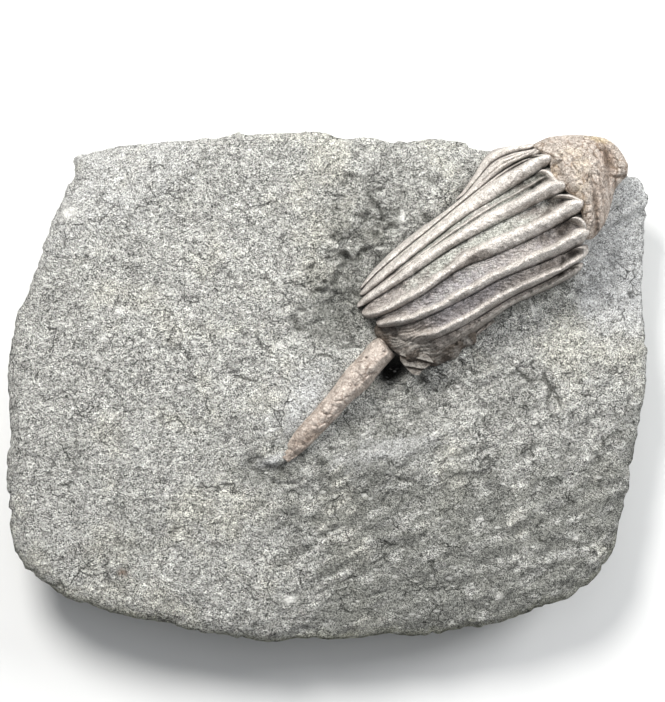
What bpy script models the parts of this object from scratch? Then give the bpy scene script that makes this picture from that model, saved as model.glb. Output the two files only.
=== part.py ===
"""Crinoid fossil: a crown lying in relief on a broken slab of siltstone."""

import math

import bpy
import numpy as np

# ---- driving dimensions, in millimetres --------------------------------------
MM = 0.001
SLAB_THICKNESS = 22.0  # underside to the plateau on the left
GAP = 0.36  # clearance between neighbouring pieces
CROWN_ANGLE = math.radians(33.0)  # the crown's length, turned from +X
CROWN_ORIGIN = (6.7, 16.53)  # the arm tips, on the slab
CROWN_RISE = 11.6  # the arms above the plateau
ARM_SHELL = 3.0  # thickness of the arms over the matrix that fills the crown
GRID_CENTRE = (13.0, 8.5)  # the slab's mesh is finest here, under the crown
SPOKES = 106
RINGS = 20
SEED = 7

# Outline of the slab, clockwise from the upper left corner.
SLAB_OUTLINE = [
    (-52.1, 43.4), (-51.9, 46.0), (-50.3, 47.5), (-42.1, 48.9), (-32.4, 49.5),
    (-24.3, 50.2), (-18.6, 51.5), (-16.6, 50.8), (-11.3, 51.1), (-7.2, 51.5), (-1.0, 51.2), (3.1, 49.9),
    (8.0, 50.2), (14.0, 49.7), (20.7, 50.1), (27.2, 49.3), (32.7, 48.0),
    (46.9, 45.4), (60.9, 43.0), (63.9, 41.7), (64.6, 39.5), (65.0, 38.7),
    (64.8, 33.0), (64.3, 27.9), (64.0, 18.2), (64.8, 9.9), (64.7, 3.9),
    (63.8, -3.9), (62.7, -9.7), (61.5, -16.4), (60.6, -23.1), (59.4, -26.4),
    (57.6, -33.6), (53.6, -39.2), (50.0, -42.5), (44.0, -44.2), (36.8, -47.3),
    (27.8, -49.3), (17.7, -50.5), (11.6, -49.9), (5.5, -51.1), (-2.9, -50.9),
    (-9.5, -51.5), (-17.8, -51.1), (-25.9, -49.6), (-33.4, -47.6), (-42.5, -46.0),
    (-50.9, -43.5), (-57.3, -39.9), (-62.1, -35.8), (-64.2, -29.8), (-65.0, -20.9),
    (-64.9, -12.2), (-64.2, -9.0), (-64.8, 0.8), (-64.1, 8.1), (-62.7, 14.9),
    (-60.9, 18.2), (-58.2, 27.1), (-57.3, 31.0), (-54.0, 37.6),
]

# Lines across the crown: (distance along it, offset to its upper left side).
# LINES[0] is its upper left edge, LINES[1] to LINES[7] are the grooves between
# the arms, and LINES[8] is the lower edge.
LINES = [
    [(-2, 2.6), (2, 3.5), (6, 4.9), (10, 5.8), (14, 6.4), (22, 7.1), (26, 7.6),
     (30, 8.4), (34, 10.1), (38, 11.9), (40, 12.0), (42, 10.9), (45, 9.2), (48, 8.6)],
    [(22, 6.8), (26, 7.0), (30, 7.6), (34, 8.8), (38, 9.8), (41, 9.4), (45, 7.9),
     (48, 7.4)],
    [(-2, 1.6), (2, 2.8), (6, 3.7), (10, 4.3), (14, 4.8), (18, 5.2), (26, 6.1),
     (34, 6.9), (38, 7.3), (42, 7.1), (46, 6.0), (48, 5.6)],
    [(-2, 0.9), (2, 1.4), (6, 1.8), (10, 2.2), (18, 2.9), (26, 3.5), (34, 3.3),
     (42, 3.1), (48, 3.0)],
    [(-2, -0.3), (2, -0.4), (10, -0.5), (22, -0.4), (30, -1.1), (38, -2.0),
     (42, -2.5), (48, -3.6)],
    [(-2, -2.6), (2, -3.9), (6, -4.6), (10, -4.9), (22, -5.0), (26, -5.9),
     (34, -7.2), (42, -8.1), (48, -8.4)],
    [(-2, -5.0), (2, -6.7), (6, -8.4), (10, -9.2), (18, -10.2), (26, -10.8),
     (34, -12.4), (42, -13.7), (48, -14.2)],
    [(-2, -9.5), (2, -11.3), (6, -13.1), (10, -14.1), (18, -14.9), (26, -15.1),
     (34, -16.2), (42, -16.7), (48, -17.0)],
    [(-2, -14.5), (2, -15.4), (6, -16.4), (10, -17.0), (18, -17.1), (26, -16.8),
     (30, -17.4), (34, -18.1), (42, -18.7), (48, -18.9)],
]
CROWN_EDGE = [(-2, 2.6), (2, 3.5), (6, 4.9), (10, 5.8), (14, 6.4), (22, 7.1), (26, 7.6),
              (30, 8.4), (34, 10.1), (38, 12.0), (42, 12.4), (48, 12.4)]
# The bed of the crown in the slab: its lower and its upper left edge.
BED_LOW = LINES[8][:8] + [
    (38, -18.4), (40, -18.3), (42, -17.2), (44, -15.8), (46, -14.8), (49, -13.8),
    (52, -11.8), (54, -10.0), (56, -8.4), (58, -7.8), (60, -6.4), (64, -4.0)]
BED_HIGH = CROWN_EDGE[:10] + [
    (42, 11.8), (45, 10.2), (48, 9.2), (51, 7.8), (55, 5.6), (58.5, 2.8), (60.5, 0.8),
    (64, -2.0)]
HANGER = [(5, -18.2), (10, -18.6), (14, -18.3), (18, -17.9), (23, -17.5)]

# Each arm: its two bounding lines, where it starts and ends, the line of its
# crest and how wide the rib is on the upper left side of that crest.
ARMS = [
    (0, 1, 28.0, None, [(28, 7.8), (30, 8.1), (34, 9.5), (38, 10.9), (41, 10.4), (45, 8.6)], 0.9),
    (0, 2, 1.7, None, [(2, 3.2), (6, 4.3), (10, 5.1), (14, 5.6), (18, 5.9), (22, 6.2),
                       (26, 6.5), (30, 7.1), (34, 8.1), (38, 8.8), (44, 7.6)], 0.9),
    (2, 3, 0.9, None, [(2, 2.1), (6, 2.8), (10, 3.2), (14, 3.5), (18, 4.0), (22, 4.4),
                       (26, 5.0), (30, 5.4), (34, 5.7), (38, 5.6), (46, 5.0)], 1.5),
    (3, 4, -0.9, None, [(-1, 0.2), (2, 0.6), (6, 0.5), (10, 0.7), (14, 1.1), (18, 1.2),
                        (22, 1.2), (30, 0.9), (38, 0.2), (46, -0.6)], 1.6),
    (4, 5, -0.9, None, [(-1, -1.7), (2, -3.0), (6, -3.9), (10, -4.1), (14, -4.0),
                        (18, -3.7), (22, -3.3), (30, -4.2), (38, -5.4), (46, -6.2)], 1.8),
    (5, 6, 0.4, None, [(0, -4.9), (2, -5.8), (6, -7.4), (10, -8.2), (18, -9.2),
                       (26, -9.6), (34, -10.7), (42, -11.7), (46, -11.8)], 1.7),
    (6, 7, 2.8, None, [(3, -9.8), (6, -11.6), (10, -12.9), (14, -13.8), (22, -14.1),
                       (30, -14.8), (38, -15.8), (44, -16.0)], 1.8),
    (7, 8, 6.4, None, [(7, -15.6), (14, -16.2), (22, -16.1), (30, -16.9), (38, -17.8)], 1.1),
    (8, 9, 6.6, 21.0, [(7, -17.4), (10, -17.8), (14, -17.7), (21, -17.4)], 0.9),
]
# Where the arms meet the calyx: (offset across the crown, distance along it).
ARM_ENDS = [(-18.9, 39.8), (-16.1, 43.0), (-13.6, 44.6), (-11.3, 46.0),
            (-8.2, 46.9), (-5.5, 47.4), (-3.4, 46.7), (0.1, 45.7), (3.6, 47.0),
            (5.7, 47.0), (7.0, 46.6), (8.0, 46.0), (9.2, 45.2), (12.6, 41.0)]

# Calyx outline: (along, across, height of the widest line).
CALYX_OUTLINE = [
    (47.0, 8.0, 4.4), (48.9, 8.1, 4.2), (51.0, 7.3, 4.0), (54.7, 5.3, 3.8),
    (58.4, 2.4, 3.4), (59.8, 0.7, 3.2), (60.4, -1.0, 3.0), (60.5, -2.7, 2.8),
    (60.3, -5.2, 2.5), (59.8, -6.4, 2.2), (58.9, -7.3, 1.9), (57.5, -7.6, 1.6),
    (56.0, -8.1, 1.4), (54.1, -9.6, 1.2), (52.3, -11.3, 1.0), (50.1, -12.9, 1.0),
    (47.2, -14.0, 2.0), (45.5, -13.6, 6.0), (46.6, -11.3, 8.6), (47.5, -8.2, 10.2),
    (48.0, -5.5, 11.0), (47.3, -3.4, 11.2), (46.3, 0.1, 10.8), (47.6, 3.4, 8.4),
    (47.5, 5.8, 6.8),
]
CALYX_TOP = (51.5, -2.6, 12.2)
STEM_PIT = (55.8, 45.2, 1.7, 3.0, 2.2)  # x, y, half width, half length, depth
CUP_TAPER = 0.60  # share of its height that the cup loses towards the stem
CUP_TAPERS_FROM = (48.0, 61.0)  # along the crown
SEAT = 3.0  # lowest seat of the calyx beside the arms

# Anal tube: centre line on the slab, half width, height of its top.
TUBE = [
    (-8.9, -14.7, 0.8, 0.3), (-6.6, -11.8, 1.45, 1.4), (-4.4, -9.3, 1.95, 2.2),
    (-1.9, -6.6, 2.15, 2.8), (0.1, -4.5, 2.3, 3.2), (2.0, -2.3, 2.45, 3.6),
    (3.6, -0.5, 2.6, 3.8), (5.5, 1.6, 2.85, 4.1), (7.8, 4.2, 2.9, 4.3),
    (10.3, 6.9, 2.8, 4.3), (12.1, 8.3, 2.3, 3.8),
]

# Broken arm plates under the arm tips: outline, with the top of each corner.
SHARDS = [
    (14.3, 7.1, 2.2), (15.7, 8.0, 3.6), (18.2, 7.4, 3.8), (20.2, 6.2, 3.4),
    (21.2, 4.9, 2.4), (19.4, 3.7, 1.7), (18.3, 2.3, 1.0), (16.9, 2.5, 1.0),
    (15.5, 4.0, 1.3), (14.5, 5.3, 1.8),
]


# ---- small tools ---------------------------------------------------------------
def clamp01(value):
    return np.clip(value, 0.0, 1.0)


def step(low, high, value):
    """0 below low, 1 above high, smooth in between."""
    t = clamp01((value - low) / (high - low))
    return t * t * (3 - 2 * t)


def through(table, at):
    """Smooth curve through (x, y) points, flat beyond its ends."""
    points = np.asarray(table, float)
    x, y = points[:, 0], points[:, 1]
    slopes = np.gradient(y, x)
    at = np.clip(at, x[0], x[-1])
    i = np.clip(np.searchsorted(x, at, side="right") - 1, 0, len(x) - 2)
    width = x[i + 1] - x[i]
    t = (at - x[i]) / width
    return (
        y[i] * (1 + 2 * t) * (1 - t) ** 2
        + slopes[i] * width * t * (1 - t) ** 2
        + y[i + 1] * t * t * (3 - 2 * t)
        + slopes[i + 1] * width * t * t * (t - 1)
    )


def lattice(i, j, seed):
    n = (i * 374761393 + j * 668265263 + seed * 974711) & 0x7FFFFFFF
    n = ((n ^ (n >> 13)) * 1274126177) & 0x7FFFFFFF
    n = n ^ (n >> 16)
    return (n & 0xFFFF) / 32767.5 - 1.0


def noise(x, y, size, seed):
    """Smooth random height between -1 and 1 with bumps about one size across."""
    u, v = np.asarray(x) / size + 1000.0, np.asarray(y) / size + 1000.0
    i, j = np.floor(u).astype(np.int64), np.floor(v).astype(np.int64)
    a, b = u - i, v - j
    a, b = a**3 * (a * (6 * a - 15) + 10), b**3 * (b * (6 * b - 15) + 10)
    low = lattice(i, j, seed) * (1 - a) + lattice(i + 1, j, seed) * a
    high = lattice(i, j + 1, seed) * (1 - a) + lattice(i + 1, j + 1, seed) * a
    return low * (1 - b) + high * b


def distance(x, y, line):
    """Distance to an open line of points, positive on its left side."""
    best = np.full(np.shape(x), 1e9)
    side = np.ones(np.shape(x))
    for (ax, ay), (bx, by) in zip(line[:-1], line[1:]):
        dx, dy = bx - ax, by - ay
        t = clamp01(((x - ax) * dx + (y - ay) * dy) / (dx * dx + dy * dy))
        gap = np.hypot(x - ax - t * dx, y - ay - t * dy)
        cross = dx * (y - ay) - dy * (x - ax)
        nearer = gap < best
        best = np.where(nearer, gap, best)
        side = np.where(nearer, np.where(cross >= 0, 1.0, -1.0), side)
    return best * side


def bump(x, y, cx, cy, rx, ry, turn=0.0):
    """A round hill of height 1 at (cx, cy)."""
    c, s = math.cos(math.radians(turn)), math.sin(math.radians(turn))
    u = ((x - cx) * c + (y - cy) * s) / rx
    v = (-(x - cx) * s + (y - cy) * c) / ry
    return np.exp(-(u * u + v * v))


def to_crown(x, y):
    c, s = math.cos(CROWN_ANGLE), math.sin(CROWN_ANGLE)
    x, y = x - CROWN_ORIGIN[0], y - CROWN_ORIGIN[1]
    return x * c + y * s, y * c - x * s


def from_crown(q, w):
    c, s = math.cos(CROWN_ANGLE), math.sin(CROWN_ANGLE)
    return CROWN_ORIGIN[0] + q * c - w * s, CROWN_ORIGIN[1] + q * s + w * c


def line_at(index, q):
    return through(HANGER if index == 9 else LINES[index], q)


# ---- the heights ------------------------------------------------------------------
def across(q, w):
    """-1 at the crown's lower edge, +1 at its upper left edge."""
    low, high = line_at(8, q), through(CROWN_EDGE, q)
    return (2 * w - low - high) / (high - low)


CROWN_TOP = [(-4, 3.2), (0, 4.6), (4, 7.2), (8, 9.2), (14, 10.6), (24, 11.4),
             (36, 11.6), (48, 11.6)]
FILL_TOP = [(-8, -3.4), (-4, -2.0), (0, 0.6), (4, 3.6), (8, 5.8), (14, 7.4),
            (24, 8.2), (36, 8.4), (42, 8.2), (46, 7.0), (50, 4.6), (54, 2.0),
            (58, 0.0), (62, -0.8)]


def across_bed(q, w):
    """The same between the edges of the bed, which follow the calyx as well."""
    low, high = through(BED_LOW, q), through(BED_HIGH, q)
    return (2 * w - low - high) / (high - low)


def crown_height(q, w):
    """Height of the rounded crown above the plateau, without the ribs."""
    u = np.abs(across(q, w))
    roof = np.clip(1 - u**2.4, 0, 1) ** 0.60
    return through(CROWN_TOP, q) * CROWN_RISE / 11.6 * roof - 2.0 * (1 - roof)


def fill_height(q, w):
    """Height of the matrix that fills the crown, under the arms and the calyx."""
    u = np.abs(across_bed(q, w)) / 0.94
    roof = np.clip(1 - u * u, 0, 1) ** 1.25
    foot = -3.2 + 2.4 * step(42.0, 49.0, q)
    return foot + (through(FILL_TOP, q) - foot) * roof


PLATEAU_EDGE = [(14.5, 54), (10.4, 44.0), (4.7, 33.0), (1.5, 25.3), (-1.6, 17.6),
                (-1.2, 10.5), (2.0, 5.0)]
FACET_EDGE = [(-58, 30.5), (-46.4, 34.9), (-38.3, 36.3), (-31.2, 46.0), (-30.5, 52)]
STEP_EDGE = [(-11.9, -18.9), (-10.9, -35.1), (-10.9, -53.0)]
TUBE_SIDE = [(-8.6, -14.8), (-1.8, -5.5), (4.9, 1.4), (9.1, 5.9), (14.0, 8.6)]


def ground(x, y):
    """The slab's face, above the plateau on its left."""
    z = 0.55 * noise(x, y, 26.0, SEED) + 0.38 * noise(x, y, 11.0, SEED + 1)
    z = z + 0.24 * noise(x, y, 5.2, SEED + 2)
    # facet that tilts away over the upper left corner
    z = z - 0.24 * np.maximum(distance(x, y, FACET_EDGE), 0.0)
    # trench beside the crown, and the low ground on the other side of it
    trench = step(-3.0, 5.0, distance(x, y, PLATEAU_EDGE))
    z = z - 2.7 * trench * step(4.0, 14.0, y)
    tube = distance(x, y, TUBE_SIDE)
    low = step(0.5, -3.5, tube) * step(-44.0, 4.0, y) * step(2.0, 10.0, x + 10)
    z = z - 2.4 * low * step(-30.0, -2.0, y + 0.25 * x)
    z = z - 2.2 * bump(x, y, 17, -2, 15, 6.5, 25) - 5.5 * bump(x, y, 13.4, 3.7, 3.0, 2.4, 20)
    # bank of matrix against the tube's upper left side, with its small ledge
    bank = step(-1.5, 5.0, tube) * np.exp(-((np.maximum(tube - 4.0, 0) / 7.0) ** 2))
    z = z + 1.5 * bank * step(-18.5, -13.0, y) * step(16.0, 4.0, y)
    z = z - 1.1 * bump(x, y, -17.0, 2.0, 6.0, 4.0)
    # ground that falls away to the lower right
    z = z + 1.0 * bump(x, y, 10, -15, 11, 4.0, 10)
    z = z - 0.030 * np.maximum(0.72 * x - 0.70 * (y + 6), 0.0)
    z = z - 0.9 * step(-0.4, 2.0, distance(x, y, STEP_EDGE)) * step(-17, -22, y)
    return z


def edge_fall(inside):
    """How far the face drops near the broken edge, inside it by so much."""
    return 1.7 * np.exp(-np.maximum(inside, 0.0) / 1.1) + 0.7 * np.exp(-inside / 6.0)


def slab_face(x, y, inside):
    """The whole upper face of the slab, with the bed for the crown."""
    q, w = to_crown(x, y)
    z = ground(x, y) - edge_fall(inside)
    inner = step(1.10, 0.84, np.abs(across_bed(q, w)))
    inner = inner * step(-4.5, 1.5, q) * step(63.0, 60.0, q)
    return z * (1 - inner) + fill_height(q, w) * inner


def bed(x, y, around=0.7):
    """The highest ground near a place, for the underside of a piece above it."""
    z = slab_face(x, y, 40.0)
    for turn in range(6):
        c, s = math.cos(turn * math.pi / 3), math.sin(turn * math.pi / 3)
        z = np.maximum(z, slab_face(x + around * c, y + around * s, 40.0))
    return z + GAP


# ---- meshes -----------------------------------------------------------------------
def clear_scene():
    for obj in list(bpy.data.objects):
        bpy.data.objects.remove(obj, do_unlink=True)


def material(name, colour, roughness):
    made = bpy.data.materials.new(name)
    made.use_nodes = True
    shader = made.node_tree.nodes["Principled BSDF"]
    shader.inputs["Base Color"].default_value = (*colour, 1.0)
    shader.inputs["Roughness"].default_value = roughness
    shader.inputs["Metallic"].default_value = 0.0
    return made


def add_object(name, points, faces, look, smooth=True):
    """Points in millimetres above the plateau become one object in metres."""
    points = np.asarray(points, float) + (0.0, 0.0, SLAB_THICKNESS)
    mesh = bpy.data.meshes.new(name)
    mesh.from_pydata((points * MM).tolist(), [], faces)
    mesh.polygons.foreach_set("use_smooth", [smooth] * len(mesh.polygons))
    mesh.materials.append(look)
    mesh.update()
    obj = bpy.data.objects.new(name, mesh)
    bpy.context.scene.collection.objects.link(obj)
    return obj


def tube_faces(rows, columns):
    """Faces of a closed skin made of rows of rings, with a point at each end."""
    faces = []
    for r in range(rows - 1):
        for c in range(columns):
            d = (c + 1) % columns
            a, b = r * columns + c, r * columns + d
            e, f = (r + 1) * columns + c, (r + 1) * columns + d
            faces += [(a, b, f), (a, f, e)]
    first, last = rows * columns, rows * columns + 1
    for c in range(columns):
        d = (c + 1) % columns
        faces.append((first, d, c))
        faces.append((last, (rows - 1) * columns + c, (rows - 1) * columns + d))
    return faces


def skin(name, rings, look):
    """One closed body from rings of points, the ends closed to their centres."""
    rings = np.asarray(rings, float)
    rows, columns = rings.shape[:2]
    ends = [rings[0].mean(axis=0), rings[-1].mean(axis=0)]
    points = np.vstack([rings.reshape(-1, 3), ends])
    faces = np.array(tube_faces(rows, columns))
    a, b, c = (points[faces[:, i]] - points.mean(axis=0) for i in range(3))
    if np.einsum("ij,ij->", a, np.cross(b, c)) < 0:  # the rings ran the other way
        faces = faces[:, ::-1]
    return add_object(name, points, faces.tolist(), look)


def smooth_outline(points, count):
    """Points evenly along a closed curve through the outline's corners."""
    p = np.asarray(points, float)
    before, after, later = np.roll(p, 1, 0), np.roll(p, -1, 0), np.roll(p, -2, 0)
    fine = []
    for t in np.linspace(0, 1, 12, endpoint=False):
        fine.append(
            0.5 * (2 * p + (after - before) * t
                   + (2 * before - 5 * p + 4 * after - later) * t**2
                   + (3 * p - before - 3 * after + later) * t**3)
        )
    fine = np.stack(fine, axis=1).reshape(-1, p.shape[1])
    closed = np.vstack([fine, fine[:1]])
    along = np.r_[0, np.cumsum(np.hypot(*np.diff(closed[:, :2], axis=0).T))]
    at = np.linspace(0, along[-1], count, endpoint=False)
    return np.stack([np.interp(at, along, c) for c in closed.T], axis=1)


def make_slab(look):
    outline = smooth_outline(SLAB_OUTLINE, SPOKES)[::-1]  # anticlockwise
    centre = np.array(GRID_CENTRE)
    reach = np.hypot(*(outline - centre).T)
    rings = []
    for k in range(1, RINGS + 1):
        s = (k / RINGS) ** 1.12
        s = s if k < RINGS else 1.0
        xy = centre + (outline - centre) * s
        inside = (1 - s) * reach * 0.85
        z = slab_face(xy[:, 0], xy[:, 1], inside)
        rings.append(np.column_stack([xy, z]))
    top_edge = rings[-1][:, 2].copy()
    # broken sides: a little out, then back in towards the underside
    for k, (drop, scale) in enumerate(
        [(0.14, 1.0), (0.34, 0.992), (0.56, 0.978), (0.80, 0.962), (1.0, 0.940)]
    ):
        rough = 0.9 * noise(outline[:, 0] + 40 * k, outline[:, 1], 9.0, SEED + 5)
        rough = rough * (0.0 if k == 4 else 0.6) - (0.4 if k else 0.0)
        xy = outline * scale + outline / reach[:, None] * np.minimum(rough, 0)[:, None]
        z = top_edge * (1 - drop) - SLAB_THICKNESS * drop
        rings.append(np.column_stack([xy, z]))
    rings.append(np.column_stack([outline * 0.45, np.full(SPOKES, -SLAB_THICKNESS)]))
    points = np.vstack(rings)
    top = slab_face(np.array([centre[0]]), np.array([centre[1]]), np.array([40.0]))[0]
    points = np.vstack([points, [*centre, top], [0, 0, -SLAB_THICKNESS]])
    faces = [f[::-1] for f in tube_faces(len(rings), SPOKES)]
    return add_object("matrix_slab", points, faces, look, smooth=False)


def make_arm(number, first, second, start, end, crest, width, look):
    """One arm: a band and a rib over the crown's back, and a skin off its bed."""
    ends = np.array(ARM_ENDS)
    rings = []
    for s in np.r_[0.0, 0.025, np.linspace(0.09, 0.985, 10), 1.0]:
        side = 0.0
        for _ in range(3):  # the end follows the calyx, whose line depends on the side
            q = start
            t = np.linspace(0, 1, 8) if np.isscalar(side) else side
            w_end = line_at(first, 45.0) * (1 - t) + line_at(second, 45.0) * t
            q_end = np.interp(w_end, ends[:, 0], ends[:, 1]) - GAP / 2
            q = start + ((q_end if end is None else end) - start) * s + 0 * t
            high, low = line_at(first, q), line_at(second, q)
            if second == 2:  # the second arm keeps clear of the first
                high = np.minimum(high, line_at(1, q))
            peak = np.clip(through(crest, q), low + 0.25 * (high - low),
                           high - 0.2 * (high - low))
            c = ((high - peak) / (high - low)).mean()
            side = np.array([0.0, 0.35 * c, 0.65 * c, 0.88 * c, c + 0.08 * (1 - c),
                             c + 0.45 * (1 - c), c + 0.80 * (1 - c), 1.0])
        inset = np.minimum(GAP / 2, 0.3 * (high - low))
        w = high - inset - (high - low - 2 * inset) * t
        tip = clamp01((q - start) / 2.6)  # the tip narrows towards its crest
        w = peak + (w - peak) * (0.25 + 0.75 * np.sqrt(1 - (1 - tip) ** 2))
        above = 0.5 + 0.5 * np.cos(np.pi * clamp01((w - peak) / width))
        below = np.cos(np.pi / 2 * clamp01((peak - w) / (peak - low))) ** 0.85
        rib = np.where(w > peak, above, below)
        thin = clamp01((high - low) / 2.6) * 0.55 + 0.45
        x, y = from_crown(q, w)
        bottom = bed(x, y, 0.6 if 2 <= first <= 5 else 1.5)
        top = crown_height(q, w) - 1.45 + (0.15 + 2.35 * rib) * thin
        top = top - 1.6 * (s < 0.01) - 0.6 * (0.01 < s < 0.03)
        if end is None:  # the rib rounds off where it meets the calyx
            top = top - 1.5 * (s > 0.99) - 0.4 * (0.9 < s < 0.99)
        top = np.maximum(top, bottom + 0.4)
        upper = np.column_stack([x, y, top])
        lower = np.column_stack([x, y, bottom])[::-1][[0, 2, 4, 5, 7]]
        rings.append(np.vstack([upper, lower]))
    return skin(f"arm_{number:02d}", rings, look)


def make_calyx(look):
    """The cup: a domed upper skin, a widest line, and an underside off its bed."""
    outline = smooth_outline(CALYX_OUTLINE, 36)
    q0, w0, top = CALYX_TOP
    # beside the arms the cup's edge sits just under their backs
    joined = step(50.0, 48.3, outline[:, 0]) * step(-14.5, -13.0, outline[:, 1])
    seat = np.maximum(crown_height(outline[:, 0], outline[:, 1]) - 1.35, SEAT)
    outline[:, 2] = outline[:, 2] * (1 - joined) + seat * joined
    rings = []
    for s in (0.12, 0.30, 0.48, 0.64, 0.78, 0.89, 0.96, 1.0):
        q = q0 + (outline[:, 0] - q0) * s
        w = w0 + (outline[:, 1] - w0) * s
        rise = (top - outline[:, 2]) * (1 - CUP_TAPER * step(*CUP_TAPERS_FROM, q))
        z = outline[:, 2] + rise * np.sqrt(1 - s**2.3 * 0.999)
        x, y = from_crown(q, w)
        z = z - STEM_PIT[4] * bump(x, y, *STEM_PIT[:4], 15)
        rings.append(np.column_stack([x, y, z]))
    for s, drop in ((0.985, 1.6), (0.93, 3.4), (0.80, 9.0), (0.45, 9.0)):
        q = q0 + (outline[:, 0] - q0) * s
        w = w0 + (outline[:, 1] - w0) * s
        x, y = from_crown(q, w)
        floor = bed(x, y, 1.5)
        rings.append(np.column_stack([x, y, np.maximum(outline[:, 2] - drop, floor)]))
    obj = skin("calyx", rings, look)
    return obj


def make_tube(look):
    table = np.array(TUBE)
    at = np.linspace(0, len(table) - 1, 15)
    rows = [through(np.column_stack([np.arange(len(table)), table[:, c]]), at)
            for c in range(4)]
    x, y, half, top = rows
    dx, dy = np.gradient(x), np.gradient(y)
    length = np.hypot(dx, dy)
    nx, ny = -dy / length, dx / length
    rings = []
    angles = np.linspace(-0.32, np.pi + 0.32, 10)
    for k in range(len(at)):
        side = np.cos(angles) * half[k]
        px, py = x[k] + nx[k] * side, y[k] + ny[k] * side
        floor = bed(px, py, 1.2)
        middle = floor.min() + 0.30 * (top[k] - floor.min())
        z = middle + (top[k] + 0.2 - middle) * np.sin(angles)
        z = np.maximum(z, floor + 0.3)
        upper = np.column_stack([px, py, z])
        foot = (upper[[-1, -3, 5, 2, 0], :2] - (x[k], y[k])) * 0.92 + (x[k], y[k])
        lower = np.column_stack([foot, np.minimum(bed(*foot.T, 1.2), z[[-1, -3, 5, 2, 0]] - 0.2)])
        rings.append(np.vstack([upper, lower]))
    return skin("anal_tube", rings, look)


def make_loose_plate(look):
    """Broken plates under the arm tips: a low block with a sloping, stepped top."""
    c = np.array(SHARDS)
    mid = c.mean(axis=0)
    rings = []
    for s, drop in ((0.45, 0.0), (0.8, 0.0), (1.0, 0.35)):
        p = mid + (c - mid) * s
        floor = bed(p[:, 0], p[:, 1], 0.9)
        rings.append(np.column_stack([p[:, :2], np.maximum(p[:, 2] - drop, floor + 0.5)]))
    for s in (0.96, 0.6):
        xy = mid[:2] + (c[:, :2] - mid[:2]) * s
        rings.append(np.column_stack([xy, bed(xy[:, 0], xy[:, 1], 0.9)]))
    return skin("loose_plate", rings, look)


def main():
    clear_scene()
    stone = material("siltstone", (0.40, 0.40, 0.37), 0.92)
    lime = material("fossil_limestone", (0.66, 0.60, 0.52), 0.72)
    cup = material("calyx_limestone", (0.68, 0.59, 0.49), 0.74)
    plate = material("tube_limestone", (0.46, 0.41, 0.36), 0.78)
    make_slab(stone)
    for number, arm in enumerate(ARMS, 1):
        make_arm(number, *arm, lime)
    make_calyx(cup)
    make_tube(plate)
    make_loose_plate(plate)


main()
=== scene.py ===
# %% [markdown]
# # A crinoid fossil on its slab
# A sea lily's crown lies in relief on a broken slab of siltstone: a plated cup,
# arms folded together into ribs, and a plated tube that dives into the stone.
# The CAD frame gives the sizes and the place of each piece. This lesson dresses
# it: every piece becomes a fine surface worked out with numpy, and every stone
# gets its own grain.

# %% Load the frame
import math
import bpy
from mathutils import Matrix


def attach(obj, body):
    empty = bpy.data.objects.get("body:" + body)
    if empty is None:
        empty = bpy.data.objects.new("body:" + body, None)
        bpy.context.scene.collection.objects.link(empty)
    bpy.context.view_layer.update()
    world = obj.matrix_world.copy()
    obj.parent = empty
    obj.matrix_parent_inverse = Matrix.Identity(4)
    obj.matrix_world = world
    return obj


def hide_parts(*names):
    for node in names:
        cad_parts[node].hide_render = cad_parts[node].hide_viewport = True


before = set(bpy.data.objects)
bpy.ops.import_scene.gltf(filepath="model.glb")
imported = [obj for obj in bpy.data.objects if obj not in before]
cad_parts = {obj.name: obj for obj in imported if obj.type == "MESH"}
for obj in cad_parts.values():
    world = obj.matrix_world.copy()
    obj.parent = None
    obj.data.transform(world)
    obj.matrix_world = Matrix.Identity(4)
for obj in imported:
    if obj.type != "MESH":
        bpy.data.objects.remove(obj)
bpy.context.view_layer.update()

from types import SimpleNamespace

import bpy
import numpy as np
from mathutils import Vector

MM = 0.001
PLATEAU = 22.0  # height of the slab's plateau over its underside, in millimetres
print("nodes:", sorted(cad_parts))

# %% [markdown]
# ## Small tools
# Heights are worked out in millimetres above the plateau, as whole arrays. Four
# tools do most of the work: a smooth step, a smooth curve through a few points,
# the distance to a line, and random hills. Random hills of many sizes, added
# together, are what makes a broken stone look broken.

# %% Curves and distances
def clamp01(value):
    return np.clip(value, 0.0, 1.0)


def step(low, high, value):
    """t = (value - low) / (high - low), held to 0..1; the result is 3t² - 2t³."""
    t = clamp01((value - low) / (high - low))
    return t * t * (3 - 2 * t)


def through(table, at):
    """Hermite curve through (x, y) points, with the slopes of their neighbours."""
    points = np.asarray(table, float)
    x, y = points[:, 0], points[:, 1]
    slopes = np.gradient(y, x)
    at = np.clip(at, x[0], x[-1])
    i = np.clip(np.searchsorted(x, at, side="right") - 1, 0, len(x) - 2)
    width = x[i + 1] - x[i]
    t = (at - x[i]) / width
    return (
        y[i] * (1 + 2 * t) * (1 - t) ** 2
        + slopes[i] * width * t * (1 - t) ** 2
        + y[i + 1] * t * t * (3 - 2 * t)
        + slopes[i + 1] * width * t * t * (t - 1)
    )


def distance(x, y, line):
    """Shortest distance to an open line of points, positive on its left side."""
    best = np.full(np.shape(x), 1e9)
    side = np.ones(np.shape(x))
    for (ax, ay), (bx, by) in zip(line[:-1], line[1:]):
        dx, dy = bx - ax, by - ay
        t = clamp01(((x - ax) * dx + (y - ay) * dy) / (dx * dx + dy * dy))
        gap = np.hypot(x - ax - t * dx, y - ay - t * dy)
        cross = dx * (y - ay) - dy * (x - ax)
        nearer = gap < best
        best = np.where(nearer, gap, best)
        side = np.where(nearer, np.where(cross >= 0, 1.0, -1.0), side)
    return best * side


def turned(x, y, degrees):
    """Coordinates along and across a direction: x cos + y sin and y cos - x sin."""
    c, s = math.cos(math.radians(degrees)), math.sin(math.radians(degrees))
    return x * c + y * s, y * c - x * s


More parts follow.
